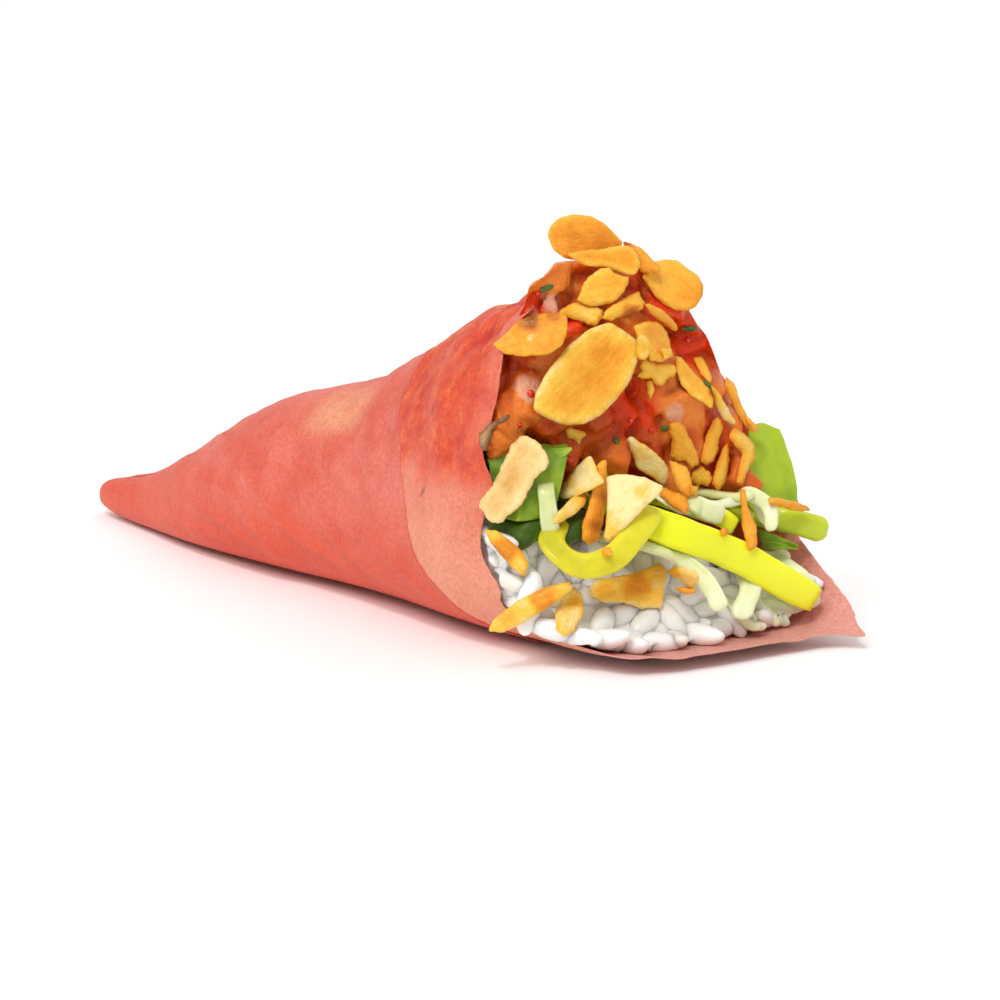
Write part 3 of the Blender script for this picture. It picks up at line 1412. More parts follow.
@dataclass
class Strip:
    """A cut strip of root: its finish, its section and its path from inside the roll."""

    name: str
    finish: Finish
    width: float
    thick: float
    path: tuple
    corner: float = 4.5
    ragged: float = 0.05
    end: float = 0.78
    tone: float = 0.0
    sections: int = 64
    sides: int = 18

    def rings(self) -> tuple[Array, Array]:
        """The strip's rings of points, and the tone at each."""
        line = smooth_path(self.path, self.sections)
        along = np.gradient(line, axis=0)
        along /= np.linalg.norm(along, axis=1, keepdims=True)
        share = np.linspace(0, 1, self.sections)
        turn = smooth_step(share, 0.2, 0.7)[:, None]
        facing = (1 - turn) * np.array([0, 0, 1.0]) + turn * np.array(MOUTH.outward)
        wide = np.cross(along, facing)
        wide /= np.linalg.norm(wide, axis=1, keepdims=True)
        flat = np.cross(wide, along)
        angle = np.linspace(0, 2 * np.pi, self.sides, endpoint=False)
        across, deep = (
            np.copysign(np.abs(v) ** (2 / self.corner), v) * size / 2
            for v, size in ((np.cos(angle), self.width), (np.sin(angle), self.thick))
        )
        ridge = np.stack([angle * 2.5, angle * 0, angle * 0 + self.width * 7], axis=1)
        mark = lumps(ridge, 1.0, 51)
        ends = np.minimum(1, np.minimum(share, 1 - share) * self.sections / 4.5) ** 0.5
        ends = self.end + (1 - self.end) * ends
        swell = 1 + self.ragged * lumps(line, 3.0, 52 + self.width)
        thin = 1 + self.ragged * lumps(line, 2.2, 57 + self.thick)
        sway = self.ragged * 2.0 * lumps(line, 4.0, 58)
        out = across * (1 + 0.05 * mark) * (ends * swell)[:, None] + sway[:, None]
        rise = deep * (1 + 0.1 * mark) * (ends * thin)[:, None]
        rings = line[:, None] + wide[:, None] * out[..., None] + flat[:, None] * rise[..., None]
        bumps = lumps(rings.reshape(-1, 3), 1.7, 53).reshape(rings.shape[:2]) * 0.08
        rings = rings + flat[:, None, :] * bumps[..., None]
        return rings, 0.6 * share[:, None] + 0.2 * mark[None, :] + self.tone

    def mesh(self) -> tuple[Array, Faces, Array]:
        """The strip's points, faces and tones."""
        rings, tone = self.rings()
        return *loft(rings), np.append(tone.reshape(-1), [self.tone, 0.6 + self.tone])

    def build(self) -> Object:
        """Builds the strip as a soft-cornered bar with cut marks along it."""
        points, faces, tone = self.mesh()
        name = self.name + "_strip"
        return piece(name, points, faces, self.finish, [self.name], {"along": tone})


def shred(across: float, up: float, length: float, turn: float, width: float, tone: float) -> Strip:
    """A thin pale shred that lies over the rice at this place.

    Args:
        across: its middle across the mouth.
        up: its middle up the mouth.
        length: in millimetres.
        turn: in degrees from level.
        width: in millimetres.
        tone: how pale it is.

    Returns:
        The strip.
    """
    way = Vector((math.cos(math.radians(turn)), math.sin(math.radians(turn))))
    side = Vector((-way.y, way.x)) * (0.10 * length * math.sin(across * 3 + up))
    starts, heights = [], []
    for share in (-0.5, -0.2, 0.15, 0.5):
        x, y = way * (length * share) + side * (1 - 4 * share**2)
        starts.append(MOUTH.seen(across + x, up + y))
        found = PILE.top(across + x, up + y)
        ground = found[0] if found else MOUTH.at(across + x, up + y, 0)
        heights.append((starts[-1] - ground).dot(MOUTH.lay_in))
    middle = sum(heights) / len(heights)
    path = [
        start - MOUTH.lay_in * (0.7 * middle + 0.3 * height + proud)
        for start, height, proud in zip(starts, heights, (0.0, 0.9, 1.1, 0.4))
    ]
    for place in path:
        place.z = max(place.z, 3.0)
    path = tuple(Vector(place) for place in kept_inside(np.array(path), 0.93).tolist())
    form = {"thick": 0.7, "corner": 2.4, "ragged": 0.3, "end": 0.2, "sections": 22, "sides": 10}
    return Strip("", DAIKON, width, path=path, tone=tone, **form)


@dataclass
class Greens:
    """The lettuce and the cut strips between the rice and the salmon."""

    # across, up, length, turn, width, tone
    over_rice: tuple = (
        (16.8, 10.6, 6.0, -20, 1.6, 0.0), (18.0, 9.2, 5.0, -60, 1.4, 0.1),
        (12.8, 11.6, 6.0, -14, 1.5, -0.1), (13.6, 13.2, 4.6, -8, 1.8, -0.1),
        (-10.8, 20.2, 8.0, -62, 1.7, 0.1), (-12.6, 18.6, 6.0, -74, 1.6, 0.2),
        (1.2, 20.2, 7.0, -18, 1.6, 0.2), (7.4, 20.6, 6.0, 4, 1.4, 0.3),
        (12.2, 18.2, 4.0, -60, 1.2, 0.35), (-8.2, 21.6, 6.0, -40, 1.7, 0.2),
    )
    loose: int = 20

    def leaves(self) -> list[Leaf]:
        """The lettuce leaves, each row of points nearer to the edge."""
        on = MOUTH.line
        near = (
            ((-38, -15, 17.5), (-38, -10, 18.5), (-38, -6, 18)),
            ((-24, -20, 21), (-24, -15, 22.5), (-24, -8, 21.5)),
            on(-22.6, 25.2, -1.2, -18.5, 26.8, 0.0, -12.8, 27.4, 1.0),
            on(-23.0, 19.4, -1.5, -19, 18.0, 0.6, -14.4, 18.8, 0.6),
        )
        far = (
            ((-34, 9, 15), (-34, 13, 15), (-34, 16, 14)),
            on(9.5, 17.5, -6, 12.5, 17.5, -6, 15.5, 17.5, -6),
            on(9.8, 21, -2.5, 13.3, 21, -2.5, 16.8, 20.5, -2.5),
            on(9.8, 25.5, -2.5, 13.3, 25.5, -2.5, 16.2, 25, -2.5),
            on(10.6, 29.9, -2.8, 12.4, 30.3, -2.8, 14.4, 29.4, -2.8),
        )
        fold = (
            ((-30, -16, 16.5), (-30, -10, 17), (-30, -3, 16.5)),
            on(-22.6, 18.2, -3, -17.5, 18.8, -2, -10.5, 18.8, -2),
            on(-22.6, 16.6, -1.4, -17.5, 16.2, 0.6, -10.8, 16.4, 0.4),
            on(-21.6, 15.6, -2.2, -17.0, 15.0, -0.4, -11.5, 15.4, -0.6),
        )
        tip = (
            on(-16.5, 25.4, -1.2, -15.6, 26.4, -1.2),
            on(-15.0, 25.6, 0.4, -15.0, 27.0, 0.4),
            on(-13.4, 25.9, 1.6, -13.6, 27.1, 1.6),
            on(-12.2, 26.9, 2.2, -12.3, 27.2, 2.2),
        )
        scrap = (
            on(11.4, 16.4, -2.0, 12.4, 14.0, -2.0),
            on(13.2, 16.0, 1.4, 13.6, 14.0, 1.4),
            on(16.6, 14.4, 2.2, 16.4, 13.8, 2.2),
        )
        # the leaf's ruffle, its waves, its blisters, its tone and whether the CAD has it
        return [
            Leaf("lettuce_near", near, 0.35, 1.4, 0.6, -0.2),
            Leaf("lettuce_far", far, 0.15, 1.2, 0.22, 0.25),
            Leaf("lettuce_fold", fold, 0.8, 2.2, 0.8, -0.5, False),
            Leaf("lettuce_tip", tip, 0.1, 0.5, 0.15, 0.0, False),
            Leaf("lettuce_scrap", scrap, 0.3, 1.5, 0.4, 0.0, False),
        ]

    def strips(self) -> list[Strip]:
        """The radish and daikon strips: finish, width, thickness, path and section."""
        on, torn = MOUTH.line, {"corner": 2.6, "ragged": 0.2, "end": 0.35}
        rows = (
            ("radish_long", RADISH, 4.2, 2.0, ((-40, 1, 14.5), (-20, -2, 17.5))
             + on(-2.2, 17.6, 2.4, 8, 13.6, 4.0, 18.6, 7.6, 5.4), {"tone": 0.1}),
            ("radish_curl", RADISH_SOFT, 3.3, 1.3, ((-26, -14, 17),)
             + on(-14.7, 18.2, -2.5, -14.6, 15.2, 2.4, -11.2, 12.6, 4.0, -7.0, 13.6, 4.4)
             + on(-3.6, 17.4, 4.9, -2.4, 19.6, 5.0), {"corner": 3.2}),
            ("radish_far", RADISH_GREEN, 3.4, 1.6, ((-26, 13, 15.5),)
             + on(13.0, 18.2, -1, 20.6, 16.2, 3), {"corner": 3.2, "end": 0.5}),
            ("radish_short", RADISH, 2.4, 1.5, ((-24, 4.5, 18),)
             + on(5.0, 18.8, -1, 8.4, 17.0, 2.2), {}),
            ("daikon_bent", DAIKON, 2.4, 1.2, ((-28, -7, 14.5),)
             + on(-4.5, 15.2, 0.2, 1.4, 13.0, 2.2, 5.2, 9.6, 4.4, 6.4, 6.6, 4.6), torn),
            ("daikon_near", DAIKON, 2.3, 0.5, ((-26, -10, 22),)
             + on(-16.0, 24.4, -3.0, -15.5, 22.4, 1.4, -15.1, 19.4, 1.9, -14.5, 16.0, 1.0),
             {"tone": -0.35, **torn}),
            ("daikon_flat", DAIKON, 2.6, 0.9, ((-22, 0.5, 20.2),)
             + on(1.6, 20.4, 0.5, 4.2, 19.4, 2.4, 6.8, 18.4, 3.0),
             {"corner": 3.4, "ragged": 0.15, "end": 0.7}),
            ("daikon_hook", DAIKON, 2.0, 1.1, ((-24, 9, 18),)
             + on(7.8, 20.8, 0.6, 10.4, 21.2, 2.6, 12.6, 19.6, 4.0, 12.9, 16.4, 4.2), torn),
            ("daikon_low", DAIKON, 2.8, 1.2, ((-24, 9, 12.5),)
             + on(9.5, 12.0, 0, 8.8, 5.4, 3.0), torn),
            ("daikon_far", DAIKON, 3.0, 1.3, ((-26, 15, 11),)
             + on(14.5, 11.8, -0.5, 18.2, 8.2, 2.4), {"tone": 0.2, **torn}),
        )
        return [Strip(*row, **form) for *row, form in rows]

    def shreds(self) -> Object:
        """Builds the heap of thin pale shreds at the far side of the rice, as one piece."""
        table = list(self.over_rice)
        for k in range(self.loose):
            over, rise, other = (k * 0.618) % 1, (k * 0.755 + 0.3) % 1, (k * 0.37) % 1
            turn = -84 + 44 * other if k % 4 else -24 + 20 * other
            low = (8.6 + 8.6 * over, 4.6 + 6.2 * rise)
            table.append((*low, 6.0 + 3.2 * other, turn, 1.3 + 0.8 * over, 0.05 + 0.3 * rise))
        points, faces, tones, start = [], [], [], 0
        for row in table:
            own, own_faces, tone = shred(*row).mesh()
            faces += [tuple(k + start for k in face) for face in own_faces]
            points.append(own)
            tones.append(tone)
            start += len(own)
        along = {"along": np.concatenate(tones)}
        return piece("daikon_shreds", np.concatenate(points), faces, DAIKON, (), along)

    def build(self) -> list[Object]:
        """Builds every leaf, strip and shred."""
        return [one.build() for one in [*self.leaves(), *self.strips()]] + [self.shreds()]


# ---- toasted almonds


LAID = np.stack([MOUTH.across, MOUTH.upward, -MOUTH.lay_in])


@dataclass(frozen=True)
class Flake:
    """One toasted piece: its outline across and up the mouth, its browning and its form."""

    name: str
    outline: tuple
    toast: float = 0.2
    middle: float = 0.0
    edge: float = 0.0
    tip: float = 0.0
    burnt: tuple = ()  # across, up, reach and amount of each scorched place
    thick: float = 0.8
    cup: float = 0.3
    rough: float = 0.12
    finish: Finish = ALMOND
    is_node: bool = True
    rim_points: int = 84
    fill: float = 0.42
    rounding: float = 0.28

    def rim(self) -> Array:
        """The outline as evenly spaced points, its corners softened and its line uneven."""
        knots = np.array(self.outline, float).reshape(-1, 2)
        loop = np.concatenate([knots, knots[:1]])
        far = np.concatenate([[0], np.cumsum(np.hypot(*np.diff(loop, axis=0).T))])
        place = np.linspace(0, far[-1], self.rim_points, endpoint=False)
        line = np.stack([np.interp(place, far, loop[:, k]) for k in (0, 1)], axis=1)
        line = 0.5 * line + 0.25 * (np.roll(line, 1, axis=0) + np.roll(line, -1, axis=0))
        way = np.roll(line, -1, axis=0) - np.roll(line, 1, axis=0)
        out = np.stack([way[:, 1], -way[:, 0]], axis=1)
        out /= np.linalg.norm(out, axis=1, keepdims=True)
        ring = np.concatenate([line, line[:, :1] * 0 + 3], axis=1)
        uneven = self.rough * (lumps(ring, 1.2) + 0.8 * lumps(ring, 0.5, 3))
        return line + out * uneven[:, None]

    def filled(self, rim: Array) -> tuple[Array, Faces]:
        """Fills the outline.

        Args:
            rim: the outline's points.

        Returns:
            Points, the outline's first, and triangles.
        """
        low, high = rim.min(axis=0), rim.max(axis=0)
        side = [np.arange(low[k], high[k], self.fill) for k in (0, 1)]
        grid = np.stack(np.meshgrid(*side), axis=-1).reshape(-1, 2)
        jitter = np.stack([grid[:, 1] * 7.1, grid[:, 0] * 5.3], axis=1)
        grid = grid + 0.12 * self.fill * np.sin(jitter)
        far, inside = edge_distance(grid, rim)
        points = np.concatenate([rim, grid[inside & (far > 0.45 * self.fill)]])
        edges = [(k, (k + 1) % len(rim)) for k in range(len(rim))]
        corners = [Vector(p) for p in points.tolist()]
        made, _, faces, *_ = geometry.delaunay_2d_cdt(corners, edges, [], 1, 1e-6)
        return np.array([tuple(p) for p in made]), [tuple(face) for face in faces]

    def depth(self) -> float:
        """How far in the CAD piece lies, so that what lies deepest is laid first."""
        points = [v.co for v in frame["nodes"][self.name].data.vertices]
        return -sum(p.dot(MOUTH.lay_in) for p in points) / len(points)

    def build(self) -> Object:
        """Builds the piece as a closed slice with soft rims, its relief and its browning."""
        rim = self.rim()
        flat, faces = self.filled(rim)
        middle = rim.mean(axis=0)
        level, lean_over, lean_up = PILE.plane(flat, middle, self.thick)
        local = flat - middle
        ways = np.linalg.svd(rim - middle)[2]
        p, q = local @ ways[0], local @ ways[1]
        if ways[0][1] < 0:
            p, q = -p, -q
        reach, (far, _) = np.abs(p).max(), edge_distance(flat, rim)
        own = 0 * p + middle[0] * 3 + middle[1]
        even, grain = np.stack([p, q, own], axis=1), np.stack([p * 0.28, q, own], axis=1)
        depth = level + lean_over * local[:, 0] + lean_up * local[:, 1]
        depth = depth + self.cup * ((p / reach) ** 2 - 0.3)
        depth = depth + lumps(even, 3.2, 61) * 0.3 + lumps(grain, 1.0, 62) * 0.08
        start = np.array(MOUTH.seen(*middle))
        centre = start + np.stack([local[:, 0], local[:, 1], depth], axis=1) @ LAID
        facing = LAID[2] - lean_over * LAID[0] - lean_up * LAID[1]
        facing /= np.linalg.norm(facing)
        share = np.clip(far / self.rounding, 0, 1)
        half = self.thick / 2 * np.sqrt(np.clip(1 - (1 - share) ** 2, 0.06, 1))
        half = (half * (1 + 0.25 * lumps(even, 2.0, 63)))[:, None]
        points = np.concatenate([centre + facing * half, centre - facing * half])
        count, around = len(flat), len(rim)
        after = [(k, (k + 1) % around) for k in range(around)]
        walls = [(k, m, count + m, count + k) for k, m in after]
        back = [tuple(count + k for k in face[::-1]) for face in faces]
        shade = self.browning(flat, p / reach, far, even)
        laid = np.stack([p * 0.35, q, 0 * p + middle[0]], axis=1) * MM
        shades = {"toast": np.append(shade, shade + 0.04), "laid": np.concatenate([laid, laid])}
        name, node = self.name + "_piece", [self.name] if self.is_node else []
        return piece(name, points, [*faces, *back, *walls], self.finish, node, shades)

    def browning(self, flat: Array, along: Array, far: Array, even: Array) -> Array:
        """How far each point is toasted.

        Args:
            flat: each point's place across and up the mouth.
            along: its place along the piece, from -1 to 1.
            far: how far it lies from the edge.
            even: its own even coordinates, for the blotches.

        Returns:
            From 0 for raw to 1 for burnt.
        """
        shade = self.toast + self.middle * smooth_step(far, 0.3, 0.55 * far.max())
        shade = shade + self.edge * (1 - smooth_step(far, 0.0, 0.6))
        shade = shade + abs(self.tip) * smooth_step(along * np.sign(self.tip), -0.1, 0.9)
        for across, up, reach, amount in self.burnt:
            away = np.hypot(flat[:, 0] - across, flat[:, 1] - up) / reach
            away = away + 0.35 * lumps(even, 1.3, 66)
            shade = shade + amount * (1 - smooth_step(away, 0.3, 1.1))
        return shade + lumps(even, 2.6, 64) * 0.07 + lumps(even, 0.9, 65) * 0.05


def edge_distance(points: Array, rim: Array) -> tuple[Array, Array]:
    """How far points lie from a closed line, and whether they lie inside it.

    Args:
        points: N by 2.
        rim: the closed line's points.

    Returns:
        The distances, and True for each point inside.
    """
    after = np.roll(rim, -1, axis=0)
    way = after - rim
    from_start = points[:, None, :] - rim[None, :, :]
    share = np.clip((from_start * way).sum(axis=2) / (way**2).sum(axis=1), 0, 1)
    away = from_start - share[..., None] * way[None, :, :]
    distance = np.hypot(away[..., 0], away[..., 1]).min(axis=1)
    x, y = points[:, None, 0], points[:, None, 1]
    crosses = (rim[:, 1] > y) != (after[:, 1] > y)
    at_x = rim[:, 0] + (y - rim[:, 1]) * way[:, 0] / np.where(way[:, 1] == 0, 1e-9, way[:, 1])
    return distance, (crosses & (x < at_x)).sum(axis=1) % 2 == 1


class Pile:
    """What has been laid so far, for the next thing that comes to rest on it."""

    step: float = 5.0
    most_lean: float = 1.3
    samples: int = 90

    def __init__(self) -> None:
        """Starts with nothing laid."""
        self.trees: list[BVHTree] = []

    def take(self, objects: Iterable[Object]) -> None:
        """Reads finished pieces as surfaces."""
        self.trees += [surface_of(obj.data) for obj in objects]

    def top(self, across: float, up: float) -> Optional[tuple[Vector, Vector]]:
        """Lays something in at this place.

        Args:
            across: level across the mouth.
            up: up the mouth.

        Returns:
            Where it comes to rest and the normal there, or None where nothing lies.
        """
        start = MOUTH.seen(across, up) - MOUTH.lay_in * MOUTH.reach
        hits = [tree.ray_cast(start, MOUTH.lay_in) for tree in self.trees]
        hits = [hit for hit in hits if hit[0] is not None]
        return min(hits, key=lambda hit: hit[3])[:2] if hits else None

    def plane(self, flat: Array, middle: Array, thick: float) -> tuple[float, float, float]:
        """How a thin piece comes to rest on what lies under it.

        Args:
            flat: the piece's points, across and up.
            middle: its middle.
            thick: its thickness.

        Returns:
            How proud its middle lies, and how it leans across and up.
        """
        rows, heights = [], []
        for across, up in flat[:: max(1, len(flat) // self.samples)].tolist():
            found = self.top(across, up)
            if found:
                rows.append((1.0, across - middle[0], up - middle[1]))
                heights.append(-(found[0] - MOUTH.seen(across, up)).dot(MOUTH.lay_in))
        if not rows:
            return 0.0, 0.0, 0.0
        table, height = np.array(rows), np.array(heights)
        height = np.maximum(height, height.max() - self.step)
        # Two rows more hold the leaning back a little.
        held = np.concatenate([table, [[0, 2.5, 0], [0, 0, 2.5]]])
        fit = np.linalg.lstsq(held, np.append(height, [0, 0]), rcond=None)[0]
        lean = np.clip(fit[1:], -self.most_lean, self.most_lean)
        level = np.quantile(height - table[:, 1:] @ lean, 0.97) + 0.5 * thick + 0.1
        return float(level), float(lean[0]), float(lean[1])


PILE = Pile()

# The slices at the top of the heap, the shards down its far side and over the greens, and the
# crumbs: each outline as across and up by turns, then how far it is toasted.
SLICES = (
    Flake("almond_slice_back", (-2.5, 50.8, -0.55, 51.3, 1.1, 51.2, 2.4, 50.1, 3.7, 49.3, 4.4, 48,
     4.25, 46.5, 3.35, 45.1, 2.4, 44.7, 0.75, 44.75, -0.55, 45.4, -1.9, 46.5, -2.8, 48, -3.5, 49),
     0.23, middle=0.02, tip=-0.12, rough=0.06),
    Flake("almond_slice_top", (-15.6, 54.2, -15.1, 55.6, -13.9, 56.5, -12, 56.9, -9.9, 56.6, -8.2,
     55.6, -6.8, 54.2, -5.9, 53.2, -6.9, 52, -8.9, 51.1, -11.2, 50.9, -13.3, 51.2, -14.9, 52.4),
     0.37, middle=0.03, edge=-0.1, tip=-0.08, cup=-0.4, rough=0.04),
    Flake("almond_link", (-5.9, 53.5, -4.8, 53.2, -3.5, 52.6, -2.8, 51.8, -1.9, 50.9, -1.2, 50.3,
     -1, 49.6, -2.5, 49.3, -3.6, 49.6, -4, 50.9, -4.5, 52.3, -5.8, 52.9), 0.34,
     burnt=((-5.4, 53.3, 0.8, 0.3),), thick=1.0),
    Flake("almond_strip_top", (-12.9, 51.6, -10.6, 52.1, -8, 52.4, -6.3, 52.8, -4.8, 52.5, -4,
     51.4, -3.8, 50.3, -4.3, 49.1, -5.4, 49, -6.8, 49.6, -8.4, 50, -10.5, 50.1, -12.1, 50.9), 0.2,
     middle=0.14, tip=0.08),
    Flake("almond_slice_hidden", (-4.5, 42.5, -3.1, 43.1, -1.5, 43.1, -0.4, 41.9, 0.1, 40.25, 0.1,
     38.6, -1, 37.9, -2.4, 38.25, -3.1, 39.9, -4, 41.1), 0.26, middle=0.1),
    Flake("almond_band", (-3.1, 45.25, -2.5, 45.4, -0.5, 44.4, 0.4, 43.5, 1.1, 42.5, 0.75, 42.1,
     -0.25, 42.6, -1.5, 43.5, -2.6, 44.25), 0.3, thick=1.2),
    Flake("almond_wedge_top", (-11.75, 45.75, -11.1, 47.4, -10.1, 48.8, -8.7, 49.8, -7.5, 49.9,
     -7.2, 49.3, -6.25, 48.9, -5.1, 48.8, -5.25, 47.9, -6.1, 46.5, -7.4, 45.4, -9, 45, -10.6,
     45.1), 0.17, middle=0.04, tip=0.08),
    Flake("almond_splint_a", (-14, 44.25, -12.6, 45.25, -11, 45.4, -8.4, 44.6, -8.4, 43.5, -9.3,
     42.5, -11, 43, -12.75, 43.6, -13.55, 43.8), 0.14, edge=0.08, tip=0.06, thick=1.15,
     rough=0.16),
    Flake("almond_splint_b", (-8.4, 43.5, -8, 44.6, -6.75, 45.4, -5.1, 46.5, -4, 47, -3.6, 46.25,
     -3, 45.4, -3.5, 44.6, -5.4, 43.75, -7.4, 43.2), 0.22, burnt=((-5.2, 43.7, 1.8, 0.4),),
     thick=1.2, rough=0.16),
    Flake("almond_half_near", (-22.25, 40.1, -21, 40.9, -19.4, 42.6, -18.05, 43.5, -15.5, 44.1,
     -13.5, 44, -12.75, 43.3, -12.9, 41.7, -13.5, 39.9, -15.1, 38.9, -18.05, 38.5, -20.4, 38.75,
     -21.5, 39.4), 0.36, edge=-0.08, burnt=((-17.4, 43.3, 1.9, 0.4), (-14.5, 43.9, 1.2, 0.26))),
    Flake("almond_jagged", (-4.3, 36.1, -3.1, 37, -3.8, 37.25, -3.1, 38.1, -1.9, 37.75, -0.55,
     37.9, 0.75, 37.6, 0.75, 36.3, -0.05, 36.1, -1.05, 34.9, -1.9, 35.2, -2.4, 36.1, -3.5, 35.8),
     0.16, edge=0.1, rough=0.18),
    Flake("almond_slice_large", (-17.1, 31.9, -16.75, 33.9, -15.45, 36.5, -12.9, 39.75, -10.25, 42,
     -7.6, 43, -6.4, 42.3, -4.1, 40.7, -4.1, 38.1, -5.05, 35.5, -7, 32.9, -8.6, 31.3, -10.9, 30,
     -13.5, 30, -15.75, 31), 0.17, middle=0.13, edge=-0.04,
     burnt=((-8.2, 38.6, 2.4, 0.12), (-9.8, 35.2, 2.0, 0.07)), thick=1.0, rough=0.06, cup=0.5),
)
